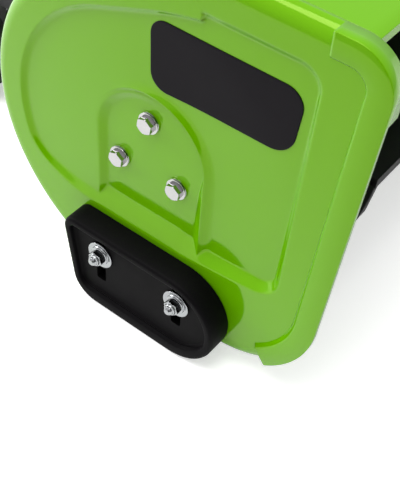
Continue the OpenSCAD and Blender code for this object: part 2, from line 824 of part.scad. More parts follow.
module tube_bolt() {
    end = tube_r + 6;
    color(zinc) at_tube() {
        x_bar(3, -end - 2, end + 6, [0, 22]);
        translate([end, 0, 22]) rotate([0, 90, 0]) cylinder(r = 5.77, h = 5, $fn = 6);
        translate([-end - 4, 0, 22]) rotate([0, 90, 0]) cylinder(r = 5.77, h = 4, $fn = 6);
    }
}

module telescope_collar() {
    color(black) at_tube() difference() {
        union() {
            translate([0, 0, collar_w[0]]) cylinder(r = collar_r, h = collar_w[1] - collar_w[0]);
            translate([-9, -collar_r - 25, collar_w[0] + 12]) cube([18, 30, 26]);
        }
        translate([0, 0, collar_w[0] - 1])
            cylinder(r = tube_r + run_gap, h = lower_len + seat - collar_w[0] + 1);
        translate([0, 0, lower_len - 1]) cylinder(r = upper_r + 0.1, h = 40);
        translate([-1, -collar_r - 30, collar_w[0] - 1]) cube([2, collar_r + 16, 60]);
        x_bar(3 + bolt_gap, -30, 30, [-collar_r - 17, collar_w[0] + 25]);
    }
}

// Places of the auger's two cross bolts, square to the flights beside them
module auger_bolt_places() {
    for (x = [-auger_bolt_x, auger_bolt_x])
        translate([x, 0, 0]) rotate([-auger_bolt_turn, 0, 0]) children();
}

module auger_shaft() {
    color(steel) at_axis() difference() {
        x_bar(shaft_r, 4.5 - wall_in, pulley_x + belt_w + 2.2);
        auger_bolt_places() translate([0, 0, -shaft_r - 1]) cylinder(r = 3 + bolt_gap, h = 2 * shaft_r + 2);
    }
}

module auger_tube() {
    color(black) at_axis() difference() {
        x_bar(auger_tube_r, -auger_end, auger_end);
        x_bar(shaft_r + run_gap, -wall_in, wall_in);
        auger_bolt_places() translate([0, 0, -auger_tube_r - 1])
            cylinder(r = 3 + bolt_gap, h = 2 * auger_tube_r + 2);
    }
}

// Two spiral flights on the right half of the auger
module flights() {
    len_x = flight_x - paddle_w / 2 - 2;
    half = flight_t / flight_pitch * 180;
    color(black) for (turn = [0, 180]) {
        a = 180 - flight_start + turn;
        translate([-flight_x, 0, 0]) rotate([90, 0, 90])
            linear_extrude(len_x, twist = 360 * len_x / flight_pitch, slices = 40, $fn = 12)
                polygon(concat(
                    [for (k = [-2:2]) auger_r * [cos(a + k * half / 2), sin(a + k * half / 2)]],
                    [for (k = [1:-1:-1]) (auger_tube_r + seat) * [cos(a + k * half), sin(a + k * half)]]));
    }
}

module auger_flights() { at_axis() both_sides() flights(); }

// Outline of the plate at a paddle's end, on a paddle that points straight ahead
module ear_outline() {
    rim = auger_r - seat;
    hull() {
        rotate(ear_reach) translate([-rim + ear_r, 0]) circle(ear_r);
        translate([-rim + paddle_t / 2, 0]) circle(paddle_t / 2);
        translate([-ear_root, 0]) circle(paddle_t / 2);
    }
}

module center_paddles() {
    twist_end = flight_start + 360 * (flight_x - paddle_w / 2 - 2) / flight_pitch;
    ear_x = paddle_w / 2 - ear_t;
    color(black) at_axis() rotate([-twist_end - paddle_turn, 0, 0]) for (turn = [0, 180]) rotate([turn, 0, 0])
        union() {
            translate([-paddle_w / 2, -auger_r + seat, -paddle_t / 2])
                cube([paddle_w, auger_r - auger_tube_r - 2 * seat, paddle_t]);
            along_x(ear_x, paddle_w / 2) ear_outline();
            along_x(-paddle_w / 2, -ear_x) ear_outline();
        }
}

module auger_bolts() {
    color(zinc) at_axis() auger_bolt_places() {
        translate([0, 0, -auger_tube_r - 2]) cylinder(r = 3, h = 2 * auger_tube_r + 5);
        translate([0, 0, auger_tube_r + 0.2]) cylinder(r = 5.77, h = 4, $fn = 6);
        translate([0, 0, -auger_tube_r - 5]) cylinder(r = 5.77, h = 4.8, $fn = 6);
    }
}

module auger_pulley() {
    color(steel) at_axis() difference() {
        union() {
            x_bar(big_pulley_r, pulley_x + 1, pulley_x + 1 + belt_w);
            for (x = [pulley_x, pulley_x + 1 + belt_w]) x_bar(big_pulley_r + belt_t - 1, x, x + 1);
        }
        x_bar(shaft_r + run_gap, pulley_x - 1, pulley_x + belt_w + 3);
        for (a = [0:60:300])
            x_bar(5, pulley_x - 1, pulley_x + belt_w + 3, [18 * cos(a), 18 * sin(a)]);
    }
}

module motor_shaft() {
    color(steel) at_axis() {
        x_bar(4, motor_front - motor_len - 6, pulley_x + belt_w + 2, [motor_y, motor_z]);
        x_bar(motor_r - 5, motor_front - motor_len + 8, motor_front - 10, [motor_y, motor_z]);
    }
}

module motor_pulley() {
    at = [motor_y, motor_z];
    color(steel) at_axis() difference() {
        union() {
            x_bar(small_pulley_r, pulley_x + 1, pulley_x + 1 + belt_w, at);
            for (x = [pulley_x, pulley_x + 1 + belt_w]) x_bar(small_pulley_r + belt_t - 1, x, x + 1, at);
        }
        x_bar(4 + run_gap, pulley_x - 1, pulley_x + belt_w + 3, at);
    }
}

// One shoe on the left side: a hollow block with a sunk panel and two upright slots
module skid_shoe() {
    half = (slot_len - slot_w) / 2;
    color(black) difference() {
        along_x(shoe_in, shoe_out) polygon(loop(shoe));
        along_x(panel_x, shoe_out + 1) intersection() {
            polygon(loop(shoe, shoe_rim));
            translate([-2 * shoe_front_y, shoe_z[0] + shoe_sole]) square([4 * shoe_front_y, shoe_h]);
        }
        along_x(shoe_in - 1, panel_x - shoe_panel_t) polygon(loop(shoe, shoe_rim));
        for (p = shoe_bolt_at) along_x(shoe_in - 1, shoe_out + 1)
            translate([p[0], slot_mid - (p[0] > 0 ? slot_step : 0)]) {
                for (s = [-1, 1]) translate([0, s * half]) circle(slot_w / 2);
                translate([-slot_w / 2, -half]) square([slot_w, 2 * half]);
            }
    }
}

module right_skid_shoe() { at_axis() mirror([1, 0, 0]) skid_shoe(); }
module left_skid_shoe() { at_axis() skid_shoe(); }

module battery_case() {
    r = 6;
    color(black) at_axis() difference() {
        along_y(pack_y[0], pack_y[1])
            polygon(loop([[pack_w / 2 - r, pack_z + r, r], [pack_w / 2 - r, pack_z + pack_h - r, r],
                          [r - pack_w / 2, pack_z + pack_h - r, r], [r - pack_w / 2, pack_z + r, r]]));
        translate([3 - pack_w / 2, pack_y[0] + 3, pack_z + 3]) cube([pack_w - 6, pack_len - 6, pack_h - 6]);
        for (x = [-20, -4, 12]) translate([x - 2, pack_y[0] - 1, pack_z + 14]) cube([6, 12, 22]);
        translate([-15, pack_y[1] - 21, pack_z + pack_h - 8]) cube([30, 18, 10]);
    }
}

module battery_cells() {
    color("steelblue") at_axis() for (i = [0:4], j = [0:1]) {
        d = 21;
        translate([0, pack_y[0] + 14 + d / 2 + i * (d + seat), pack_z + 3 + seat + d / 2 + j * (d + seat)])
            rotate([0, 90, 0]) cylinder(r = d / 2, h = pack_w - 7, center = true);
    }
}

module battery_latch() {
    color([0.85, 0.1, 0.08]) at_axis() translate([-14.5, pack_y[1] - 20.5, pack_z + pack_h - 4.5])
        cube([29, 17, 6]);
}

module upper_tube() {
    color(steel) at_tube() difference() {
        translate([0, 0, upper_foot]) cylinder(r = upper_r, h = upper_len);
        translate([0, 0, upper_foot - 1]) cylinder(r = upper_r - tube_t, h = upper_len + 2);
    }
}

// One half of the D-handle; s is -1 for the front and 1 for the rear
module handle_half(s) {
    y = [min(0, s * grip_t / 2), max(0, s * grip_t / 2)];
    y_in = [min(0, s * (grip_t / 2 - grip_wall)) - 0.01, max(0, s * (grip_t / 2 - grip_wall)) + 0.01];
    socket_r = upper_r + 5;
    difference() {
        union() {
            along_y(y[0], y[1]) difference() {
                polygon(loop(d_outer));
                polygon(loop(d_gap));
            }
            intersection() {
                translate([0, 0, neck_w - 50]) cylinder(r = socket_r, h = 56);
                translate([-40, s < 0 ? -40 : 0, 0]) cube([80, 40, 2 * upper_top]);
            }
        }
        translate([0, 0, neck_w - 60]) cylinder(r = upper_r + 0.1, h = upper_top - neck_w + 60 + seat);
        along_y(y_in[0], y_in[1]) difference() {
            polygon(loop(d_outer, grip_wall));
            polygon(loop(d_gap, -grip_wall));
            translate([-40, neck_w - 60]) square([80, 60 + 8]);
            for (p = handle_screw_at) translate(p) circle(4);
            translate(trigger_pivot) circle(4.5);
        }
        for (p = handle_screw_at) translate([p[0], 20, p[1]]) rotate([90, 0, 0]) cylinder(r = 1.65, h = 40);
        translate([trigger_pivot[0], 20, trigger_pivot[1]]) rotate([90, 0, 0])
            cylinder(r = 2 + run_gap, h = 33.2);
        translate([trigger_pivot[0] - 6.5, -6.6, gap_w[1] - 4]) cube([76, 13.2, 22]);
        if (s < 0) translate([lock_at[0], 0, lock_at[1]]) rotate([90, 0, 0])
            cylinder(r = 6 + run_gap, h = 20);
    }
}

module front_handle_shell() { color(black) at_tube() handle_half(-1); }
module rear_handle_shell() { color(black) at_tube() handle_half(1); }

module handle_screws() {
    color(zinc) at_tube() for (p = handle_screw_at) translate([p[0], 0, p[1]]) rotate([-90, 0, 0]) {
        translate([0, 0, -10]) cylinder(r = 1.6, h = grip_t / 2 + 10);
        translate([0, 0, grip_t / 2 + 0.05]) cylinder(r = 3, h = 1.8);
    }
}

module trigger_pin() {
    color(zinc) at_tube() translate([trigger_pivot[0], 13, trigger_pivot[1]]) rotate([90, 0, 0])
        cylinder(r = 2, h = 26);
}

module trigger() {
    color([0.85, 0.35, 0.05]) at_tube() difference() {
        along_y(-6, 6) polygon(loop([[trigger_pivot[0], trigger_pivot[1], 5],
                                     [trigger_pivot[0] + 4, gap_w[1] - 5, 4],
                                     [trigger_pivot[0] + 62, gap_w[1] - 8, 4],
                                     [trigger_pivot[0] + 60, gap_w[1] + 3, 3]]));
        translate([trigger_pivot[0], 7, trigger_pivot[1]]) rotate([90, 0, 0])
            cylinder(r = 2 + run_gap, h = 14);
    }
}

module trigger_switch() {
    foot = gap_w[1] + trigger_travel + 9;
    color("dimgray") at_tube() translate([0, -6.5, foot])
        cube([24, 13, bar_top - grip_wall - seat - foot]);
}

module lock_button() {
    color([0.85, 0.35, 0.05]) at_tube() translate([lock_at[0], -4, lock_at[1]]) rotate([90, 0, 0])
        cylinder(r = 6, h = grip_t / 2 - 4 + 3.5);
}

// Clamp round the lower tube whose wings carry the auxiliary handle's legs
module aux_clamp() {
    r = tube_r + 7;
    wing = aux_leg_x + aux_bar_r + 5;
    color(black) at_tube() translate([0, 0, aux_w]) difference() {
        union() {
            translate([0, 0, -18]) cylinder(r = r, h = 36);
            translate([-wing, -r - 4, -11]) cube([2 * wing, 16, 22]);
            translate([-9, tube_r + 2, -12]) cube([18, 30, 24]);
        }
        translate([0, 0, -19]) cylinder(r = tube_r + run_gap, h = 38);
        translate([-1, tube_r - 3, -20]) cube([2, 40, 40]);
        x_bar(3 + bolt_gap, -30, 30, [tube_r + 24, 0]);
        for (s = [-1, 1]) translate([s * aux_leg_x, -tube_r - 0.5, 0]) rotate([90, 0, 0])
            cylinder(r = aux_bar_r + 0.02, h = 14);
    }
}

// Steel bail over the shaft, with a round grip on its crossbar
module aux_handle() {
    foot = -tube_r - 0.5;
    color(black) at_tube() translate([0, 0, aux_w]) {
        both_sides() {
            translate([aux_leg_x, foot, 0]) rotate([90, 0, 0]) cylinder(r = aux_bar_r, h = aux_h + foot);
            translate([aux_leg_x, -aux_h, 0]) sphere(aux_bar_r + 2);
        }
        x_bar(aux_bar_r, -aux_leg_x, aux_leg_x, [-aux_h, 0]);
        x_bar(aux_grip_r, 11 - aux_leg_x, aux_leg_x - 11, [-aux_h, 0]);
    }
}

// Screw with a lobed knob that draws a clamp's two cheeks together
module knob() {
    rotate([0, 90, 0]) cylinder(r = 3, h = 36, center = true);
    translate([-15, 0, 0]) rotate([0, 90, 0]) cylinder(r = 5.77, h = 5.7, $fn = 6);
    translate([9.3, 0, 0]) rotate([0, 90, 0]) difference() {
        cylinder(r = 16, h = 14);
        for (a = [0:60:300]) translate([18 * cos(a), 18 * sin(a), -1]) cylinder(r = 4.5, h = 16);
    }
}

module clamp_knob() { color(black) at_tube() translate([0, tube_r + 24, aux_w]) knob(); }

module collar_knob() {
    color(black) at_tube() translate([0, -collar_r - 17, collar_w[0] + 25]) knob();
}

right_side_wall();
left_side_wall();
auger_shroud();
scraper_bar();
scraper_screws();
snow_vanes();
side_label();
shoe_bolts();
shoe_washers();
shoe_nuts();
right_bearing_housing();
left_bearing_housing();
bearing_bolts();
auger_bearings();
drive_plate();
plate_screws();
motor_can();
motor_screws();
drive_belt();
belt_cover();
cover_screws();
lower_rear_housing();
upper_rear_housing();
housing_bolts();
control_board();
terminal_block();
axle();
axle_clips();
lower_tube();
tube_bolt();
telescope_collar();
auger_shaft();
auger_tube();
auger_flights();
center_paddles();
auger_bolts();
auger_pulley();
motor_shaft();
motor_pulley();
right_wheel();
left_wheel();
right_tyre();
left_tyre();
right_skid_shoe();
left_skid_shoe();
battery_case();
battery_cells();
battery_latch();
upper_tube();
front_handle_shell();
rear_handle_shell();
handle_screws();
trigger_pin();
trigger_switch();
trigger();
lock_button();
aux_clamp();
aux_handle();
clamp_knob();
collar_knob();
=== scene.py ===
import bmesh
import bpy
import numpy as np
from mathutils import Matrix, Vector


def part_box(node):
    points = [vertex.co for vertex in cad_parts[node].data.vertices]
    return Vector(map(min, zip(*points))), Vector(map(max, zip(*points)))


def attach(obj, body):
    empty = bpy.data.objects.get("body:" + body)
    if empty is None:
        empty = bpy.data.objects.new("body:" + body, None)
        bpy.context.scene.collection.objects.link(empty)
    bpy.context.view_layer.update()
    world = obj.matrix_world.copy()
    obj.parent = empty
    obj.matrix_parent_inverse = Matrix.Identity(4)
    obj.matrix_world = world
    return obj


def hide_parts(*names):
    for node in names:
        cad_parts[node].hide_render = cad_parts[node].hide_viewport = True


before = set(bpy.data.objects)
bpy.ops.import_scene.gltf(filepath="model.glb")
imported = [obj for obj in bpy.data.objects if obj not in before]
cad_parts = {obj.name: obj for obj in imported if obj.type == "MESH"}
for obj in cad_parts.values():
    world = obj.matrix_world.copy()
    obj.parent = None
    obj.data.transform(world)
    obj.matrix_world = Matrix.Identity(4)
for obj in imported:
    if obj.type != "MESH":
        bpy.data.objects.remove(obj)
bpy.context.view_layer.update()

# ---------------------------------------------------------------- Camera, floor and lights
# The machine stands on a pale sweep in a bright tent. The camera looks down on its right front corner.

MM = 0.001
tube_lo, tube_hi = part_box("auger_tube")
axis_y = (tube_lo.y + tube_hi.y) / 2
axis_z = (tube_lo.z + tube_hi.z) / 2
camera_place = (-0.4323, axis_y - 0.2238, axis_z + 0.3209)
camera_azimuth, camera_elevation, camera_roll = -55.36, 47.39, 4.53
lamp_target = (-0.1, -0.3, 0.1)


def camera_axes(azimuth, elevation, roll):
    """Right, up and back directions of a camera turned by azimuth about Z, raised by elevation, then rolled."""
    a, e, c = np.radians([azimuth, elevation, roll])
    back = np.array((np.sin(a) * np.cos(e), -np.cos(a) * np.cos(e), np.sin(e)))
    right = np.array((np.cos(a), np.sin(a), 0))
    up = np.cross(back, right)
    return np.cos(c) * right + np.sin(c) * up, -np.sin(c) * right + np.cos(c) * up, back


camera_turn = np.eye(4)
camera_turn[:3, :3] = np.stack(camera_axes(camera_azimuth, camera_elevation, camera_roll), 1)
camera_data = bpy.data.cameras.new("camera")
camera_data.lens = 70.79
camera_data.sensor_width = 36
camera_data.clip_start = 0.01
camera = bpy.data.objects.new("camera", camera_data)
bpy.context.scene.collection.objects.link(camera)
camera.matrix_world = Matrix.Translation(camera_place) @ Matrix(camera_turn.tolist())
bpy.context.scene.camera = camera
bpy.context.scene.view_settings.view_transform = "Standard"


def node_adder(tree):
    """A function that adds a shader node to the tree, with its settings made and its inputs set or linked."""
    def node(kind, inputs=(), **settings):
        made = tree.nodes.new("ShaderNode" + kind)
        for key, value in settings.items():
            setattr(made, key, value)
        for key, value in dict(inputs).items():
            if isinstance(value, bpy.types.NodeSocket):
                tree.links.new(value, made.inputs[key])
            else:
                made.inputs[key].default_value = value
        return made

    return node


def new_material(name):
    """A bare material, a function that adds nodes to it and a function that makes a shader its surface."""
    material = bpy.data.materials.new(name)
    material.use_nodes = True
    tree = material.node_tree
    tree.nodes.clear()
    node = node_adder(tree)
    output = node("OutputMaterial")

    def show(shader):
        tree.links.new(shader.outputs[0], output.inputs["Surface"])

    return material, node, show


def mesh_object(name, vertices, faces, material=None, smooth=True):
    """An object at the origin from an array of vertices and a list or array of faces."""
    mesh = bpy.data.meshes.new(name)
    mesh.from_pydata(np.asarray(vertices, float).tolist(), [], [list(map(int, f)) for f in faces])
    mesh.update()
    if smooth:
        mesh.shade_smooth()
    made = bpy.data.objects.new(name, mesh)
    bpy.context.scene.collection.objects.link(made)
    if material:
        mesh.materials.append(material)
    return made


def paint_sweep():
    """Matt white board that stays white for the camera and keeps a soft shadow of what stands on it."""
    material, node, show = new_material("white_board")
    path = node("LightPath")
    grain = node("TexNoise", {"Scale": 60.0, "Detail": 3.0})
    tone = node("MixRGB", {"Fac": grain.outputs["Fac"], "Color1": (0.90, 0.90, 0.90, 1),
                           "Color2": (0.93, 0.93, 0.93, 1)})
    matt = node("BsdfDiffuse", {"Color": tone.outputs["Color"]})
    lift = node("Emission", {"Color": (1, 1, 1, 1), "Strength": 0.46})
    both = node("AddShader", {0: matt.outputs[0], 1: lift.outputs[0]})
    reflected = node("Math", {0: path.outputs["Is Glossy Ray"], 1: 0.3}, operation="MULTIPLY")
    bright = node("Math", {0: path.outputs["Is Camera Ray"], 1: reflected.outputs[0]}, operation="MAXIMUM")
    show(node("MixShader", {0: bright.outputs[0], 1: matt.outputs[0], 2: both.outputs[0]}))
    return material


sweep = mesh_object("floor", [(-0.65, -1.2, 0), (3.0, -1.2, 0), (3.0, 3.0, 0), (-0.65, 3.0, 0)],
                    [(0, 1, 2, 3)], paint_sweep(), smooth=False)
sweep.location.z = -0.2 * MM

world = bpy.data.worlds.new("tent")
bpy.context.scene.world = world
world.use_nodes = True
sky = world.node_tree
sky.nodes.clear()
sky_node = node_adder(sky)


def sky_patch(direction, inner, outer):
    """1 within the inner cosine of a direction, 0 beyond the outer one."""
    place = sky_node("TexCoord")
    toward = Vector(direction).normalized()
    dot = sky_node("VectorMath", {0: place.outputs["Generated"], 1: toward}, operation="DOT_PRODUCT")
    return sky_node("MapRange", {"Value": dot.outputs["Value"], "From Min": outer, "From Max": inner},
                    interpolation_type="SMOOTHSTEP").outputs["Result"]


dark_gap = sky_patch((-0.88, -0.42, -0.02), 0.86, 0.76)
sky_height = sky_node("SeparateXYZ", {0: sky_node("TexCoord").outputs["Generated"]})
tent_tone = sky_node("MapRange", {"Value": sky_height.outputs["Z"], "From Min": -0.1, "From Max": 0.9,
                                  "To Min": 0.60, "To Max": 1.0})
tent = sky_node("MixRGB", {"Fac": dark_gap, "Color1": tent_tone.outputs["Result"],
                           "Color2": (0.02, 0.02, 0.02, 1)})
seen = sky_node("LightPath")
shown = sky_node("MixRGB", {"Fac": seen.outputs["Is Camera Ray"], "Color1": tent.outputs["Color"],
                            "Color2": (1, 1, 1, 1)})
glow = sky_node("Background", {"Color": shown.outputs["Color"], "Strength": 1.0})
sky.links.new(glow.outputs[0], sky_node("OutputWorld").inputs["Surface"])


def soft_box(name, place, size, watts):
    """A square area lamp at place that faces the machine's head."""
    data = bpy.data.lights.new(name, "AREA")
    data.shape = "SQUARE"
    data.size = size
    data.energy = watts
    lamp = bpy.data.objects.new(name, data)
    bpy.context.scene.collection.objects.link(lamp)
    lamp.location = place
    lamp.rotation_euler = (Vector(lamp_target) - Vector(place)).to_track_quat("-Z", "Y").to_euler()


soft_box("top_box", (-0.5, -0.1, 1.9), 1.2, 24)
soft_box("rear_box", (-0.5, 1.5, 0.8), 0.9, 23)

# ---------------------------------------------------------------- Right side wall
# One moulding in glossy green plastic: a flat rim round a stepped recess, with a raised arch round the
# bearing field. Its rear and lower edge is a full round, and a border strip thickens its front edge.

wall_in = -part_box("right_side_wall")[1].x / MM
wall_t = 3.3
floor_x = wall_in + wall_t
rim_h = 4.7
rear_rim_w = 19.0
recess_top = 99.0
edge_round = 8.0
strip_w = 11.0
lip_t = 2.4
back_r = 100.0
side_circles = np.array([(-48, -40, 60), (0, 0, back_r), (-34, 98, 20), (-97.5, 98, 20)], float)
arch_centre = np.array((-1.5, 6.5))
arch_r = 33.5
crest_h = 3.0
rear_floor_h = 2.5


def hull_loop(circles, spacing):
    """Points and outward normals round the hull of circles (y, z, r), listed anticlockwise.
    Each circle gives an arc between the outer tangents to its neighbours, and each pair a straight run."""
    centres, radii = circles[:, :2], circles[:, 2]
    count = len(circles)
    step = np.roll(centres, -1, 0) - centres
    length = np.hypot(step[:, 0], step[:, 1])
    turn = np.arctan2(step[:, 1], step[:, 0]) - np.arccos((radii - np.roll(radii, -1)) / length)
    points, normals = [], []
    for k in range(count):
        first, last = turn[k - 1], turn[k]
        sweep_angle = (last - first) % (2 * np.pi)
        angle = first + np.linspace(0, sweep_angle, max(3, int(sweep_angle * radii[k] / spacing)))
        normal = np.stack([np.cos(angle), np.sin(angle)], 1)
        points.append(centres[k] + radii[k] * normal)
        normals.append(normal)
        ahead = centres[(k + 1) % count] + radii[(k + 1) % count] * normal[-1]
        share = np.linspace(0, 1, max(2, int(np.linalg.norm(ahead - points[-1][-1]) / spacing)))[1:-1, None]
        points.append(points[-1][-1] * (1 - share) + ahead * share)
        normals.append(np.repeat(normal[-1:], len(share), 0))
    return np.concatenate(points), np.concatenate(normals)


def inset_of(circles, y, z):
    """Depth of (y, z) inside the hull of circles: the least distance to its tangent lines and arcs."""
    centres, radii = circles[:, :2], circles[:, 2]
    count = len(circles)
    step = np.roll(centres, -1, 0) - centres
    turn = np.arctan2(step[:, 1], step[:, 0]) - np.arccos((radii - np.roll(radii, -1)) / np.hypot(*step.T))
    depth = np.full(np.shape(y), 1e9)
    for k in range(count):
        away = (y - centres[k, 0]) * np.cos(turn[k]) + (z - centres[k, 1]) * np.sin(turn[k])
        depth = np.minimum(depth, radii[k] - away)
        angle = np.arctan2(z - centres[k, 1], y - centres[k, 0])
        inside = (angle - turn[k - 1]) % (2 * np.pi) <= (turn[k] - turn[k - 1]) % (2 * np.pi)
        reach = radii[k] - np.hypot(y - centres[k, 0], z - centres[k, 1])
        depth = np.where(inside, np.minimum(depth, reach), depth)
    return depth


def ramp(t, soft):
    """0 before t = 0 and 1 past t = 1, straight between, with both corners rounded by soft."""
    return 0.5 * (1 + np.sqrt(t ** 2 + soft ** 2) - np.sqrt((t - 1) ** 2 + soft ** 2))


def smooth_max(a, b, soft):
    """The larger of a and b, with the corner between them rounded by soft."""
    return 0.5 * (a + b + np.sqrt((a - b) ** 2 + soft ** 2))


def round_corner(a, b, radius):
    """Signed distance to the meeting of two edges, from the distances a and b to each, rounded by radius."""
    return np.where((a > -radius) & (b > -radius), np.hypot(a + radius, b + radius) - radius, np.maximum(a, b))


def arch_and_floors(y, z):
    """Height of the recess's floors, in mm: 0 inside the arch, rear_floor_h behind it after a step, and a plane
    that rises from 0.4 to 3 before it. The arch's front side is a wedge with a sharp crest: its inner face
    leans out as it goes down, and its outer face runs out in a hollow curve."""
    radius = np.hypot(y - arch_centre[0], np.maximum(z - arch_centre[1], 0))
    plane = 0.4 + 2.4 * np.clip((z + 36) / 108, 0, 1.1) * ramp((radius - 38) / 42, 0.15)
    outer = rear_floor_h + (plane - rear_floor_h) * ramp((14 - y) / 40, 0.3)
    lean = np.interp(z, [-46, -30, -14, 0, 6, 14], [5.4, 4.9, 4.2, 2.9, 1.7, 0.7])
    inner_face = crest_h * (radius - arch_r + lean) / lean
    run_out = outer + (crest_h + 0.1 - outer) * np.clip(1 - (radius - arch_r) / 6.2, 0, 2) ** 2
    wedge = smooth_max(-smooth_max(-inner_face, -run_out, 0.2), 0, 0.2)
    step = -smooth_max(-2.6 * ramp((radius - 27.6) / 4.2, 0.15), -outer, 0.15)
    return wedge + (np.maximum(step, 0) - wedge) * ramp((y + 6) / 26, 0.2)


def wall_relief(y, z):
    """Height of the outer face over the bearing field, in mm: the floors, and slopes up to the rim whose top
    edge is a rounded outline behind, below, in front and above."""
    behind = np.hypot(y, z) - (back_r - rear_rim_w)
    behind = np.where(z > 0, rear_rim_w - inset_of(side_circles, y, z), behind)
    behind = np.where(y < -30, -60, behind)
    below = np.interp(y, [-78, -25, 20, 40, 60], [-39.0, -48, -48, -46.5, -45]) - z
    before = -84.46 - 0.0381 * z - y
    above = z - recess_top
    distance = round_corner(round_corner(round_corner(behind, below, 22), before, 12), above, 12)
    steep_below = np.interp(y, [-75, -50, -34, -20], [0.95, 0.62, 0.42, 0.36])
    sides = np.stack([behind, below, before, above])
    share = np.exp((sides - sides.max(0)) / 3)
    steep = (share * np.stack([0 * y + 0.85, steep_below, 0 * y + 1.05, 0 * y + 0.6])).sum(0) / share.sum(0)
    slope = rim_h + steep * distance
    soft = 0.3 + 0.5 * share[0] / share.sum(0)
    return -smooth_max(-smooth_max(arch_and_floors(y, z), slope, soft), -rim_h, 0.22)


def ring_rows(edge, normal, insets, centre, core_r, blend_rows, core_shares):
    """Closed rows of points from the edge inwards: straight insets first, then a blend from the last inset
    to a circle of core_r about centre, then that circle drawn in to each of the shares of its size."""
    rows = [edge - d * normal for d in insets]
    last = rows[-1]
    away = last - centre
    core = centre + core_r * away / np.linalg.norm(away, axis=1)[:, None]
    rows += [last + (core - last) * share for share in np.linspace(0, 1, blend_rows + 1)[1:]]
    rows += [centre + (core - centre) * share for share in core_shares]
    return np.array(rows)


def face_outwards(piece):
    """Turn every face of a closed piece outwards."""
    skin = bmesh.new()
    skin.from_mesh(piece.data)
    bmesh.ops.recalc_face_normals(skin, faces=skin.faces)
    skin.to_mesh(piece.data)
    skin.free()


def joined_tubes(parts, name, material):
    """One mesh from several closed tubes, each given as rows of points (row, around, xyz), whose ends are each
    shut by a fan onto their middle."""
    vertices, faces, base = [], [], 0
    for rows in parts:
        count, around = rows.shape[:2]
        here = np.arange(count - 1)[:, None] * around
        a = np.arange(around)[None, :]
        b = (a + 1) % around
        quads = np.stack([here + a, here + b, here + around + b, here + around + a], -1).reshape(-1, 4)
        ring, first, last = np.arange(around), count * around, count * around + 1
        ends = np.concatenate([np.stack([np.full(around, first), (ring + 1) % around, ring], 1),
                               np.stack([np.full(around, last), (count - 1) * around + ring,
                                         (count - 1) * around + (ring + 1) % around], 1)])
        vertices += [rows.reshape(-1, 3), rows[0].mean(0)[None], rows[-1].mean(0)[None]]
        faces += (quads + base).tolist() + (ends + base).tolist()
        base += count * around + 2
    made = mesh_object(name, np.concatenate(vertices), faces, material)
    face_outwards(made)
    return made


def to_machine(x, y, z):
    """Millimetres about the auger's axis to metres on the machine. x is outward on the right side."""
    place = np.stack([-np.asarray(x, float), np.asarray(y, float), np.asarray(z, float)], -1)
    return place * MM + np.array((0, axis_y, axis_z))


def varied_skin(node, tone, rough, bump, constants):
    """A skin whose colour and roughness wander between two values, over a bump. The tone is a mask and two
    colours, rough is a mask, the spread of it that counts and two roughnesses, and bump is a height, its
    strength and its depth in mm."""
    (tone_mask, dark, light), (rough_mask, spread, levels), (height, strength, depth) = tone, rough, bump
    colour = node("MixRGB", {"Fac": tone_mask, "Color1": (*dark, 1), "Color2": (*light, 1)})
    roughness = node("MapRange", {"Value": rough_mask, "From Min": spread[0], "From Max": spread[1],
                                  "To Min": levels[0], "To Max": levels[1]})
    relief = node("Bump", {"Height": height, "Strength": strength, "Distance": depth * MM})
    return node("BsdfPrincipled", {"Base Color": colour.outputs["Color"], "Roughness": roughness.outputs["Result"],
                                   "Normal": relief.outputs["Normal"], **constants})


def green_plastic():
    """Glossy moulded green: even colour with a faint flow tone, and a very shallow orange peel."""
    material, node, show = new_material("green_gloss")
    place = node("TexCoord").outputs["Object"]
    flow = node("TexNoise", {"Vector": place, "Scale": 9.0, "Detail": 2.0}).outputs["Fac"]
    smear = node("TexNoise", {"Vector": place, "Scale": 45.0, "Detail": 4.0}).outputs["Fac"]
    peel = node("TexNoise", {"Vector": place, "Scale": 420.0, "Detail": 1.0}).outputs["Fac"]
    show(varied_skin(node, (flow, (0.112, 0.352, 0.0), (0.122, 0.368, 0.0)), (smear, (0.0, 1.0), (0.06, 0.10)),
                     (peel, 0.02, 0.4), {"IOR": 1.55, "Specular Tint": (0.85, 1.0, 0.27, 1)}))
    return material


green_gloss = green_plastic()
edge, edge_normal = hull_loop(side_circles, spacing=0.95)
round_turn = np.linspace(0, np.pi / 2, 9)
round_inset = edge_round * (1 - np.cos(round_turn))
round_x = wall_in + (floor_x + rim_h - wall_in) * np.sin(round_turn)
back_insets = np.array([30.0, 2.0])
squeeze = 18.0
flat_insets = np.linspace(9.0, squeeze, 7)
behind_lip = ramp((-84.5 - edge[:, 0]) / 2.5, 0.1) * ramp((88 - edge[:, 1]) / 3, 0.1)
cut_back = 7.5 * behind_lip[:, None] * edge_normal


def inset_rows(insets):
    """The wall's outline drawn in by each inset, plus a cut behind the front lip that fades evenly to nothing
    at the squeeze depth."""
    return np.array([edge - d * edge_normal - cut_back * (1 - d / squeeze) for d in np.minimum(insets, squeeze)])


fine_shares = np.linspace(1, 0.02, 63)[1:]
# The rows are fine as far as the arch's foot and sparse within it, where the bearing field is flat.
core_shares = np.concatenate([fine_shares[:24], fine_shares[25::9]])
face = ring_rows(edge, edge_normal, flat_insets, arch_centre, 41.0, 84, core_shares)
face[:len(flat_insets)] = inset_rows(flat_insets)
back = np.array([edge - d * edge_normal for d in back_insets])
outline_rows = np.concatenate([back[:1], inset_rows([2.0]), inset_rows(round_inset), face])
back_and_round = np.concatenate([np.full((len(back_insets), len(edge)), wall_in),
                                 np.repeat(round_x[:, None], len(edge), 1)])
wall_x = np.concatenate([back_and_round, floor_x + wall_relief(face[..., 0], face[..., 1])])
right_wall = joined_tubes([to_machine(wall_x, outline_rows[..., 0], outline_rows[..., 1])],
                          "right_wall_moulding", green_gloss)


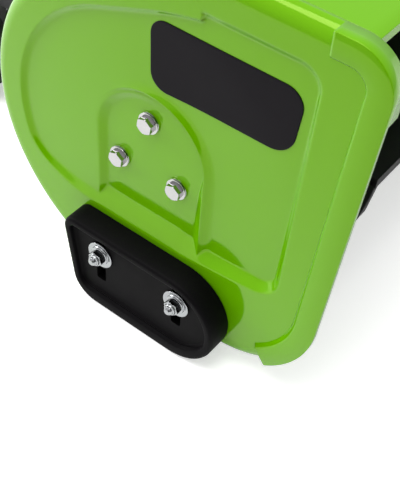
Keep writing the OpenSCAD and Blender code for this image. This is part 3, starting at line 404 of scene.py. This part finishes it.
def border_rows():
    """Rows of the border strip, as closed cross-sections carried along the wall's front edge: a thin lip that
    stands proud of the rim, with a sloping inner side."""
    y, z = edge.T
    keep = np.flatnonzero((y < -84) & ~((z > 0) & (y > -88)))
    order = keep[np.argsort(np.arctan2(z[keep] - arch_centre[1], arch_centre[0] - y[keep]))]
    path, normal = edge[order], edge_normal[order]
    one = np.ones(len(path))
    top = floor_x + np.interp(path[:, 1], [-80, 98], [6.7, 5.4])
    slope_run = np.interp(path[:, 1], [-80, 98], [2.6, 1.2])
    lip = np.where(path[:, 1] > 88, wall_in, top - lip_t)
    section = [(0 * one, lip), (0 * one, top - 0.35), (0.1 * one, top - 0.1), (0.35 * one, top),
               ((strip_w - 0.3) * one, top), (strip_w * one, top - 0.08),
               (strip_w + slope_run, (floor_x + rim_h - 0.1) * one), (strip_w * one, (floor_x + 2) * one),
               ((strip_w - 2.0) * one, lip)]
    depth, out = (np.stack(part, 1) for part in zip(*section))
    flat = path[:, None, :] - depth[..., None] * normal[:, None, :]
    return to_machine(out, flat[..., 0], flat[..., 1])


right_strip = joined_tubes([border_rows()], "right_wall_strip", green_gloss)
for piece in (right_wall, right_strip):
    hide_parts("right_side_wall")
    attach(piece, "machine")

# ---------------------------------------------------------------- Left side wall
# The same moulding on the drive side, left plain because the drive plate and its cover are screwed to it.
# It has the same rounded edge, rim and border strip.


def mirrored(rows):
    """The same rows of points on the other side of the machine."""
    return rows * np.array((-1, 1, 1))


bare_face = inset_rows(np.linspace(9.0, squeeze, 4))
bare_shares = np.array([0.85, 0.65, 0.45, 0.25, 0.1])
bare_core = arch_centre + (bare_face[-1] - arch_centre) * bare_shares[:, None, None]
bare_rows = np.concatenate([back[:1], inset_rows([2.0]), inset_rows(round_inset), bare_face, bare_core])
bare_x = np.concatenate([back_and_round, np.full((len(bare_face) + len(bare_core), len(edge)), floor_x + rim_h)])
left_wall = joined_tubes([mirrored(to_machine(bare_x, bare_rows[..., 0], bare_rows[..., 1]))],
                         "left_wall_moulding", green_gloss)
left_strip = joined_tubes([mirrored(border_rows())], "left_wall_strip", green_gloss)
for piece in (left_wall, left_strip):
    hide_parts("left_side_wall")
    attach(piece, "machine")

# ---------------------------------------------------------------- Skid shoes
# Black nylon blocks that slide on two bolts each. The outer face is a panel sunk inside a soft rim with a
# thicker sole, and two upright slots take the bolts. Sides have a little draught and a fine moulded grain.

shoe_lo, shoe_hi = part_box("right_skid_shoe")
shoe_in, shoe_out = -shoe_hi.x / MM, -shoe_lo.x / MM
panel_x = shoe_out - 3.0
shoe_back = 168.0
outer_r = 2.0
shoe_circles = np.array([(-31, -79, 28.5), (20.56, -91.5, 16), (33.5, -58.5, 8)], float)
slot_places = np.array([(17.5, -73.5), (-34, -70.5)])
slot_w, slot_len = 6.4, 29.0
slot_squareness = 0.45
both_hands = {"right": lambda rows: rows, "left": mirrored}


def grain_group():
    """Fine moulded grain: two noises of different size, put out as a height and as a mask for the colour."""
    group = bpy.data.node_groups.new("moulded_grain", "ShaderNodeTree")
    group.interface.new_socket("Vector", in_out="INPUT", socket_type="NodeSocketVector")
    group.interface.new_socket("Scale", in_out="INPUT", socket_type="NodeSocketFloat")
    group.interface.new_socket("Height", in_out="OUTPUT", socket_type="NodeSocketFloat")
    group.interface.new_socket("Mask", in_out="OUTPUT", socket_type="NodeSocketFloat")
    fine, coarse = (group.nodes.new("ShaderNodeTexNoise") for _ in range(2))
    fine.inputs["Detail"].default_value = 3.0
    coarse.inputs["Detail"].default_value = 4.0
    smaller = group.nodes.new("ShaderNodeMath")
    smaller.operation = "MULTIPLY"
    smaller.inputs[1].default_value = 0.06
    given, put = group.nodes.new("NodeGroupInput"), group.nodes.new("NodeGroupOutput")
    for noise in (fine, coarse):
        group.links.new(given.outputs["Vector"], noise.inputs["Vector"])
    group.links.new(given.outputs["Scale"], fine.inputs["Scale"])
    group.links.new(given.outputs["Scale"], smaller.inputs[0])
    group.links.new(smaller.outputs[0], coarse.inputs["Scale"])
    group.links.new(fine.outputs["Fac"], put.inputs["Height"])
    group.links.new(coarse.outputs["Fac"], put.inputs["Mask"])
    return group


moulded_grain = grain_group()


def grained(name, dark, light, rough, grain_scale, depth, level=0.5, metal=0.0):
    """A material whose colour and roughness wander between two values, over a fine grain of a given depth."""
    material, node, show = new_material(name)
    place = node("TexCoord").outputs["Object"]
    grain = node("Group", {"Vector": place, "Scale": grain_scale}, node_tree=moulded_grain)
    mask = grain.outputs["Mask"]
    show(varied_skin(node, (mask, dark, light), (mask, (0.3, 0.7), rough), (grain.outputs["Height"], 0.5, depth),
                     {"Metallic": metal, "Specular IOR Level": level}))
    return material


shoe_nylon = grained("shoe_nylon", (0.0018, 0.0015, 0.0019), (0.0028, 0.0024, 0.0030), (0.5, 0.6), 900.0, 0.06,
                     level=0.05)
shoe_edge, shoe_normal = hull_loop(shoe_circles, spacing=1.3)
shoe_middle = np.array((-8.0, -79.0))


def shoe_rows():
    """Rows of a shoe's skin from the middle of its hollow back, over the rim and down into the panel.
    Each row is the outline drawn in by an inset, which grows by up to 0.8 of itself over the sole, where a
    low ridge also follows the panel's foot."""
    turn = np.linspace(0, np.pi / 2, 7)
    side_inset = [6.5, 6.2, 5.8, 1.0, 0.3, 0.0, 0.0]
    side_x = [shoe_back, shoe_back - 2.0, shoe_in, shoe_in, shoe_in + 0.2, shoe_in + 0.8, shoe_out - outer_r]
    rim_inset = [3.2, 4.0, 4.35, 4.55, 4.65, 4.8, 4.95, 5.2, 5.5, 5.8, 6.1, 6.5]
    rim_drop = np.array([0.0, 0.05, 0.2, 0.5, 0.9, 2.0, 2.5, 2.7, 2.85, 2.95, 3.0, 3.0])
    ridge = [0.0, 0.7, 1.1, 0.9, 0.25, 0.0]
    inset = np.concatenate([side_inset, outer_r * (1 - np.cos(turn[1:])) + 0.15, rim_inset])
    out = np.concatenate([side_x, shoe_out - outer_r * (1 - np.sin(turn[1:])), shoe_out - rim_drop])
    low_side = np.clip(-shoe_normal[:, 1], 0, 1) ** 2
    sole = 1 + 0.8 * low_side * np.clip((inset[:, None] - 2.2) / 2, 0, 1)
    flat = shoe_edge[None] - (inset[:, None] * sole)[..., None] * shoe_normal[None]
    level = out[:, None] * np.ones(len(shoe_edge))
    level[-len(ridge):] += np.array(ridge)[:, None] * low_side
    shares = np.array([0.75, 0.5, 0.25])
    panel = shoe_middle + (flat[-1] - shoe_middle) * shares[:, None, None]
    hollow = shoe_middle + (flat[0] - shoe_middle) * np.array([0.3, 0.6, 0.85])[:, None, None]
    ends = np.ones((len(shares), len(shoe_edge)))
    outline = np.concatenate([hollow, flat, panel])
    level = np.concatenate([shoe_back * ends, level, panel_x * ends])
    return to_machine(level, outline[..., 0], outline[..., 1])


def slot_rows(place):
    """Rows of a cutter along X with the outline of a slot: straight sides joined by rounded ends, made squarish
    because their sine and cosine are raised to the power slot_squareness."""
    angle = np.linspace(0, 2 * np.pi, 48, endpoint=False) + 0.01
    sine, cosine = np.sin(angle), np.cos(angle)
    y = place[0] + slot_w / 2 * np.sign(cosine) * np.abs(cosine) ** slot_squareness
    z = place[1] + np.sign(sine) * ((slot_len - slot_w) / 2 + slot_w / 2 * np.abs(sine) ** slot_squareness)
    x = np.array([shoe_back - 3.0, shoe_out + 4.0])[:, None] * np.ones(len(angle))
    return to_machine(x, np.array([y, y]), np.array([z, z]))


def cut_through(piece, cutters):
    """Take the cutters out of a piece, and keep the result as the piece's own mesh."""
    cut = piece.modifiers.new("slots", "BOOLEAN")
    cut.object, cut.solver = cutters, "MANIFOLD"
    cut_mesh = bpy.data.meshes.new_from_object(piece.evaluated_get(bpy.context.evaluated_depsgraph_get()))
    piece.modifiers.clear()
    piece.data = cut_mesh
    bpy.data.objects.remove(cutters)
    cut_mesh.set_sharp_from_angle(angle=np.radians(40))


for side_name, hand in both_hands.items():
    shoe = joined_tubes([hand(shoe_rows())], side_name + "_shoe_block", shoe_nylon)
    cut_through(shoe, joined_tubes([hand(slot_rows(p)) for p in slot_places], side_name + "_slots", None))
    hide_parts(side_name + "_skid_shoe")
    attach(shoe, side_name + "_shoe")

# ---------------------------------------------------------------- Shoe washers, lock nuts and bolts
# Bright zinc-plated steel. Each washer has a raised collar, each flange nut a locking ring, and the carriage
# bolts' rolled threads end just beyond the nuts. The nuts' flats and the shanks in the slots get a much darker
# zinc, which is painted shade and a painted dark reflection of the shoe.

bolt_spots = np.array([(17.5, -68.0), (-34.0, -68.0)])
washer_t = 1.2
washer_r = 8.1
nut_x = panel_x + washer_t
flat_half = 4.0
corner_r = flat_half / np.cos(np.pi / 6)
thread_r = 2.5
thread_past = 6.8
nut_flats = slice(6, 9)
sharp_turn = np.radians(32)
around_bolt = np.linspace(0, 2 * np.pi, 72, endpoint=False)


def zinc_plate(name, tone, rough):
    """Bright plated steel: faint cloudy tone, fine handling scratches and slightly blotchy roughness."""
    material, node, show = new_material(name)
    place = node("TexCoord").outputs["Object"]
    cloud = node("TexNoise", {"Vector": place, "Scale": 240.0, "Detail": 3.0}).outputs["Fac"]
    scratch = node("TexNoise", {"Vector": place, "Scale": 1500.0, "Detail": 2.0}).outputs["Fac"]
    darker = [0.86 * c for c in tone]
    show(varied_skin(node, (cloud, darker, tone), (cloud, (0.35, 0.65), rough), (scratch, 0.25, 0.03),
                     {"Metallic": 1.0}))
    return material


# Much darker zinc: painted shade and a painted dark reflection for the nuts' flats and the shanks in the slots.
painted_shade_zinc = zinc_plate("painted_shade_zinc", (0.022, 0.023, 0.024), (0.2, 0.32))
bright_zinc = zinc_plate("bright_zinc", (0.40, 0.41, 0.425), (0.14, 0.26))


def turned(profile, place, twist=0.0):
    """Rows of a turned piece about an axis along X. Each profile step is (x, radius) or (x, radius, half), where
    a hexagon of that half width across its flats holds the radius in: r = min(radius, half / cos(a)), with a
    the angle from the nearest flat's middle."""
    flat_angle = (around_bolt + twist + np.pi / 6) % (np.pi / 3) - np.pi / 6
    rows = []
    for step in profile:
        radius = np.full(len(around_bolt), float(step[1]))
        if len(step) > 2:
            radius = np.minimum(radius, step[2] / np.cos(flat_angle))
        rows.append(to_machine(step[0] + 0 * radius, place[0] + radius * np.cos(around_bolt),
                               place[1] + radius * np.sin(around_bolt)))
    return np.array(rows)


def threaded_end(place, x0, x1, radius, pitch=0.8, depth=0.42):
    """Rows of a threaded rod along X: the radius falls and rises evenly once for each pitch of travel or turn
    round the axis, and the tip is chamfered."""
    x = np.linspace(x0, x1, round((x1 - x0) / 0.1))[:, None]
    wave = np.abs(((x / pitch - around_bolt / (2 * np.pi)) % 1) * 2 - 1)
    r = np.minimum(radius - depth * wave, radius - 0.9 + (x1 - x) * 1.1)
    return to_machine(x + 0 * r, place[0] + r * np.cos(around_bolt), place[1] + r * np.sin(around_bolt))


def washer_profile(x):
    """Plain washer with a sunk ring round a raised collar."""
    return [(x + 0.1, 2.7), (x + 0.1, washer_r - 0.3), (x + 0.25, washer_r - 0.05), (x + 0.4, washer_r),
            (x + 0.9, washer_r), (x + 1.05, washer_r - 0.1), (x + 1.15, washer_r - 0.3),
            (x + 1.15, washer_r - 0.5), (x + 0.8, 6.6), (x + 0.75, 6.4), (x + 0.75, 5.8),
            (x + washer_t, 5.5), (x + washer_t, 2.7)]


def hexagon(*steps):
    """Profile steps of a hexagon. Each is (x, radius), or only an x where the corners are whole."""
    return [(*step, flat_half) if isinstance(step, tuple) else (step, corner_r, flat_half) for step in steps]


def nut_profile(x):
    """Flange lock nut: a domed flange, a hexagon chamfered at its outer end and a smooth locking ring. The
    faces between the hexagon's first four steps, nut_flats, are the whole of its flats."""
    return [(x, 2.4), (x, 5.2), (x + 0.15, 5.5), (x + 0.4, 5.5), (x + 0.55, 5.3), (x + 0.65, 4.8),
            *hexagon(x + 0.7, x + 0.8, x + 3.2, x + 3.3, (x + 3.55, 4.4), (x + 3.7, 4.1), (x + 3.75, 3.9)),
            (x + 3.76, 3.5), (x + 3.9, 3.4), (x + 4.5, 3.4), (x + 4.8, 3.25), (x + 5.0, 2.9), (x + 5.0, 2.7),
            (x + 4.7, 2.4)]


def carriage_head():
    """Profile of a shoe bolt's domed head inside the wall, up to the start of its thread."""
    x = wall_in
    return [(x - 3, 0.5), (x - 3, 4.6), (x - 2.4, 5.7), (x - 1.4, 6.0), (x - 0.3, 6.0), (x - 0.1, 5.8),
            (x - 0.1, thread_r), (x + 5.2, thread_r - 0.05), (x + 5.2, 0.5)]


def on_both_walls(rows_at, spots):
    """The rows of one fastener, put at each spot on both walls."""
    return [hand(rows_at(spot)) for hand in both_hands.values() for spot in spots]


washers = joined_tubes(on_both_walls(lambda p: turned(washer_profile(panel_x), p), bolt_spots),
                       "collar_washers", bright_zinc)
nuts = joined_tubes(on_both_walls(lambda p: turned(nut_profile(nut_x), p, 0.35), bolt_spots),
                    "flange_lock_nuts", bright_zinc)
# The nuts' flats take the darker zinc as a painted dark reflection of the shoe.
nuts.data.materials.append(painted_shade_zinc)
painted_shade_rows = np.zeros((len(nut_profile(nut_x)) - 1, len(around_bolt)), int)
painted_shade_rows[nut_flats] = 1
nut_faces = np.concatenate([painted_shade_rows.ravel(), np.zeros(2 * len(around_bolt), int)])
nuts.data.polygons.foreach_set("material_index", np.tile(nut_faces, 2 * len(bolt_spots)).astype(np.int32))
rods = on_both_walls(lambda p: threaded_end(p, wall_in + 5, nut_x + thread_past, thread_r), bolt_spots)
heads = on_both_walls(lambda p: turned(carriage_head(), p), bolt_spots)
shanks = joined_tubes(rods + heads, "shoe_bolt_threads", bright_zinc)
# Shank faces inside the slots take the darker zinc as painted shade.
shanks.data.materials.append(painted_shade_zinc)
middles = np.empty(3 * len(shanks.data.polygons), np.float32)
shanks.data.polygons.foreach_get("center", middles)
in_slot = np.abs(middles[::3]) < (panel_x + 1.0) * MM
shanks.data.polygons.foreach_set("material_index", in_slot.astype(np.int32))
for piece, node_name in ((washers, "shoe_washers"), (nuts, "shoe_nuts"), (shanks, "shoe_bolts")):
    piece.data.set_sharp_from_angle(angle=sharp_turn)
    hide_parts(node_name)
    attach(piece, "machine")

# ---------------------------------------------------------------- Bearing bolts
# Three plated flange bolts on each side wall hold the bearing housing inside. Each head is a chamfered
# hexagon on a thick flange, over a thin spring washer that shows as a dark line.

bearing_bolt_r = 20.8
bearing_middle = np.array((-0.5, 1.9))
bearing_angles = np.radians([90, 210, 330])
bearing_spots = bearing_middle + bearing_bolt_r * np.stack([np.cos(bearing_angles), np.sin(bearing_angles)], 1)


def bearing_bolt_profile(x):
    """Shank, washer, groove, flange and chamfered hexagon head, from the inner end outwards."""
    return [(x - 13.3, 0.6), (x - 13.3, 2.2), (x - 12.8, 2.5), (x - 0.2, 2.5), (x - 0.05, 5.2), (x + 0.1, 5.5),
            (x + 0.45, 5.6), (x + 0.6, 5.4), (x + 0.62, 4.6), (x + 1.1, 4.6), (x + 1.12, 5.5), (x + 1.2, 5.75),
            (x + 1.35, 5.8), (x + 1.5, 5.75), (x + 1.55, 5.6), (x + 1.56, 5.0),
            *hexagon(x + 1.58, x + 1.66, x + 4.35, (x + 4.45, 4.6), (x + 4.6, 4.4), (x + 4.7, 4.1),
                     (x + 4.72, 3.9)),
            (x + 4.72, 3.7), (x + 4.72, 1.5)]


head_zinc = zinc_plate("head_zinc", (0.50, 0.49, 0.50), (0.12, 0.2))
bearing_bolts = on_both_walls(lambda p: turned(bearing_bolt_profile(floor_x), p, 0.9), bearing_spots)
bearing_heads = joined_tubes(bearing_bolts, "flange_bolt_heads", head_zinc)
bearing_heads.data.set_sharp_from_angle(angle=sharp_turn)
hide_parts("bearing_bolts")
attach(bearing_heads, "machine")

# ---------------------------------------------------------------- Side label
# A bare black plate with a satin face, stuck on above the arch and towards the front. Its edge is cut square
# and eased only slightly, so that it catches a thin line of light.

label_black = grained("label_black", (0.0075, 0.0062, 0.0082), (0.0095, 0.0080, 0.0102), (0.36, 0.46), 1500.0,
                      0.02, level=0.05)
label_circles = np.array([(-66.2, 60.9, 13), (-11, 54.9, 9), (-11, 75, 9), (-71.8, 75, 9)], float)
label_middle = np.array((-42.0, 65.0))
label_rise = 0.46


def label_rows():
    """Rows of the label's skin from its back, over an eased edge 0.3 mm thick, and inwards along the wall, whose
    floor plus a small rise gives each point its height."""
    outline, normal = hull_loop(label_circles, spacing=1.5)
    inset = np.array([2.0, 0.1, 0, 0, 0.12, 0.4, 1.5])
    rows = outline[None] - inset[:, None, None] * normal[None]
    inner = label_middle + (rows[-1] - label_middle) * np.linspace(0.9, 0.1, 9)[:, None, None]
    rows = np.concatenate([rows, inner])
    edge_rise = [-0.5, -0.5, -0.4, 0.3, 0.42, label_rise, label_rise]
    rise = np.concatenate([edge_rise, np.full(len(inner), label_rise)])
    floor = floor_x + arch_and_floors(rows[..., 0], rows[..., 1])
    return to_machine(floor + rise[:, None], rows[..., 0], rows[..., 1])


label = joined_tubes([label_rows()], "bare_label", label_black)
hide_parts("side_label")
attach(label, "machine")

# ---------------------------------------------------------------- Auger shroud, scraper and snow vanes
# The round back is one curved green moulding between the walls. A black coated scraper bar is screwed under
# its front lip, and four black nylon vanes inside the outlet turn the thrown snow.


def eased(node_name, body, material, width, angle=sharp_turn):
    """A node's skin with its triangles joined and its flat faces made whole, then each edge that turns by more
    than the angle is rounded over by the width in mm."""
    piece = mesh_object(node_name + "_finished", [], [])
    piece.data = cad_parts[node_name].data.copy()
    piece.data.name = piece.name
    piece.data.materials.clear()
    piece.data.materials.append(material)
    skin = bmesh.new()
    skin.from_mesh(piece.data)
    for face in skin.faces:
        face.material_index = 0
    bmesh.ops.remove_doubles(skin, verts=skin.verts, dist=2e-6)
    bmesh.ops.dissolve_limit(skin, angle_limit=np.radians(0.6), verts=skin.verts, edges=skin.edges)
    bmesh.ops.recalc_face_normals(skin, faces=skin.faces)
    skin.to_mesh(piece.data)
    skin.free()
    piece.data.shade_smooth()
    piece.data.set_sharp_from_angle(angle=angle)
    rounding = piece.modifiers.new("eased_edges", "BEVEL")
    rounding.width = width * MM
    rounding.segments = 2
    rounding.use_clamp_overlap = True
    rounding.limit_method, rounding.angle_limit = "ANGLE", angle
    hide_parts(node_name)
    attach(piece, body)
    return piece


def dress(material, *node_names):
    """Give CAD nodes that keep their own shape a finish of their own."""
    for node_name in node_names:
        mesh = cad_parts[node_name].data
        mesh.materials.clear()
        mesh.materials.append(material)


black_moulded = grained("black_moulded", (0.0105, 0.0105, 0.0112), (0.0165, 0.0165, 0.0175), (0.42, 0.56), 900.0,
                        0.06, level=0.35)
powder_coat = grained("powder_coat", (0.0095, 0.0095, 0.010), (0.015, 0.015, 0.016), (0.28, 0.42), 1700.0, 0.03)
eased("auger_shroud", "machine", green_gloss, 0.6)
eased("scraper_bar", "machine", powder_coat, 0.5)
eased("snow_vanes", "machine", black_moulded, 0.4)
dress(bright_zinc, "scraper_screws", "housing_bolts")

# ---------------------------------------------------------------- Auger
# Moulded black rubber: flights of both hands, and straight paddles between them that throw the snow. They are
# held to a coated tube, which turns on a steel shaft in ball bearings set in cast housings.

auger_rubber = grained("auger_rubber", (0.0035, 0.0035, 0.0037), (0.006, 0.006, 0.0063), (0.42, 0.6), 700.0, 0.08,
                       level=0.2)
cast_alloy = grained("cast_alloy", (0.30, 0.31, 0.33), (0.42, 0.43, 0.45), (0.42, 0.6), 800.0, 0.12, metal=1.0)
bare_steel = zinc_plate("bare_steel", (0.52, 0.53, 0.55), (0.22, 0.36))
eased("auger_flights", "auger", auger_rubber, 0.9, np.radians(40))
eased("center_paddles", "auger", auger_rubber, 0.9)
eased("left_bearing_housing", "machine", cast_alloy, 0.4)
eased("right_bearing_housing", "machine", cast_alloy, 0.4)
dress(powder_coat, "auger_tube")
dress(bare_steel, "auger_bearings", "auger_shaft")
dress(bright_zinc, "auger_bolts")

# ---------------------------------------------------------------- Belt drive
# A ribbed rubber belt runs from the steel motor pulley to the cast auger pulley. They sit on a coated plate
# screwed to the left wall, under a black moulded cover.

belt_rubber = grained("belt_rubber", (0.009, 0.009, 0.0095), (0.016, 0.016, 0.017), (0.6, 0.8), 650.0, 0.1,
                      level=0.3)
eased("drive_plate", "machine", powder_coat, 0.3)
eased("belt_cover", "machine", black_moulded, 0.8)
dress(bright_zinc, "plate_screws", "motor_screws", "cover_screws")
dress(bare_steel, "motor_can", "motor_shaft", "motor_pulley")
dress(cast_alloy, "auger_pulley")
dress(belt_rubber, "drive_belt")

# ---------------------------------------------------------------- Rear housing and controls
# A green upper shell and a black lower shell close over the motor, the control board and the battery bay.
# The board is a lacquered laminate with a fine weave that shows through the green.

board_lacquer = grained("board_lacquer", (0.012, 0.085, 0.03), (0.022, 0.13, 0.05), (0.15, 0.28), 2600.0, 0.02)
eased("upper_rear_housing", "machine", green_gloss, 1.2)
eased("lower_rear_housing", "machine", black_moulded, 1.0)
eased("terminal_block", "machine", black_moulded, 0.3)
dress(board_lacquer, "control_board")

# ---------------------------------------------------------------- Battery
# A clip-in pack: a black moulded case over cells in aluminium cans, held by an orange latch.

cell_can = zinc_plate("cell_can", (0.68, 0.69, 0.71), (0.25, 0.36))
orange_moulded = grained("orange_moulded", (0.58, 0.145, 0.010), (0.70, 0.19, 0.015), (0.34, 0.48), 950.0, 0.05)
dress(cell_can, "battery_cells")
eased("battery_case", "battery", black_moulded, 1.0)
eased("battery_latch", "battery_latch", orange_moulded, 0.4)

# ---------------------------------------------------------------- Wheels and axle
# Two black nylon wheels with ribbed rubber tyres turn on a plated axle, and spring clips hold them on.

tyre_lo, tyre_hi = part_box("left_tyre")
tyre_middle = (np.array(tyre_lo) + np.array(tyre_hi)) / 2
lug_count = 20
lug_depth = 1.1


def tyre_rows(side):
    """Rows round the wheel of a tyre's closed section. The section is a rounded rectangle, and the outer part
    of it falls by lug_depth between lugs that alternate left and right of a middle groove."""
    around = np.linspace(0, 2 * np.pi, 320, endpoint=False)[:, None]
    half = np.array([(0, 34.0), (0.7, 34.3), (1.2, 35), (4.5, 35), (7.6, 34.9), (8.6, 34.2), (9, 33), (9, 30),
                     (9, 27)])
    inner = np.array([(6, 27), (0, 27), (-6, 27)])
    section = np.concatenate([half[:0:-1] * (-1, 1), half, inner])
    across, radius = section[:, 0][None], section[:, 1][None]
    outer = np.clip((radius - 33.5) / 1.0, 0, 1) * (np.abs(across) > 1.0)
    phase = np.where(across > 0, 0, np.pi) + 0.06 * np.abs(across)
    lug = np.clip(3.0 * np.sin(lug_count * around + phase) + 0.5, 0, 1)
    r = (radius - lug_depth * outer * (1 - lug)) * MM
    x = side * (across * MM + tyre_middle[0])
    return np.stack([x + 0 * r, tyre_middle[1] + r * np.cos(around), tyre_middle[2] + r * np.sin(around)], -1)


def ring_of(rows, name, material):
    """A mesh that closes on itself both round its section and round the ring."""
    count, around = rows.shape[:2]
    i, j = np.arange(count)[:, None], np.arange(around)[None, :]
    next_i, next_j = (i + 1) % count, (j + 1) % around
    quads = np.stack([i * around + j, i * around + next_j, next_i * around + next_j, next_i * around + j], -1)
    made = mesh_object(name, rows.reshape(-1, 3), quads.reshape(-1, 4), material)
    face_outwards(made)
    return made


tyre_rubber = grained("tyre_rubber", (0.010, 0.010, 0.0105), (0.019, 0.019, 0.020), (0.62, 0.82), 600.0, 0.12,
                      level=0.3)
for side_name, side in (("right", -1), ("left", 1)):
    tyre = ring_of(tyre_rows(side), side_name + "_lugged_tyre", tyre_rubber)
    tyre.data.set_sharp_from_angle(angle=np.radians(35))
    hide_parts(side_name + "_tyre")
    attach(tyre, side_name + "_wheel")
    eased(side_name + "_wheel", side_name + "_wheel", black_moulded, 0.6)
dress(bright_zinc, "axle")
dress(bare_steel, "axle_clips")

# ---------------------------------------------------------------- Shaft
# A black coated lower tube is bolted into the rear housing. A drawn aluminium upper tube slides in it, and a
# black moulded collar with a screw knob holds it at its length.

shaft_lean = 36.87


def drawn_metal(name, dark, light, rough):
    """Drawn tube: long fine die lines along the leaning shaft, in the tone, the roughness and the height."""
    material, node, show = new_material(name)
    along = node("Mapping", {"Vector": node("TexCoord").outputs["Object"],
                             "Rotation": (np.radians(-shaft_lean), 0.0, 0.0), "Scale": (1.0, 1.0, 0.012)})
    lines = node("TexNoise", {"Vector": along.outputs["Vector"], "Scale": 2200.0, "Detail": 3.0}).outputs["Fac"]
    show(varied_skin(node, (lines, dark, light), (lines, (0.3, 0.7), rough), (lines, 0.3, 0.04),
                     {"Metallic": 1.0}))
    return material


drawn_aluminium = drawn_metal("drawn_aluminium", (0.52, 0.53, 0.55), (0.68, 0.69, 0.71), (0.26, 0.40))
dress(powder_coat, "lower_tube")
dress(bright_zinc, "tube_bolt")
dress(drawn_aluminium, "upper_tube")
eased("telescope_collar", "machine", black_moulded, 0.8)
eased("collar_knob", "collar_knob", black_moulded, 0.8)

# ---------------------------------------------------------------- Handles
# Two black moulded shells are screwed together round the top of the shaft as a D-shaped handle with an orange
# trigger and lock button. A coated bow handle with a rubber grip is clamped lower down with a knob.

for shell in ("front_handle_shell", "rear_handle_shell"):
    eased(shell, "handle", black_moulded, 0.5)
eased("trigger", "trigger", orange_moulded, 0.5)
eased("lock_button", "lock_button", orange_moulded, 0.4)
eased("trigger_switch", "handle", black_moulded, 0.3)
eased("aux_clamp", "auxiliary_handle", black_moulded, 0.8)
eased("clamp_knob", "clamp_knob", black_moulded, 0.8)
dress(powder_coat, "aux_handle")
dress(bright_zinc, "handle_screws", "trigger_pin")
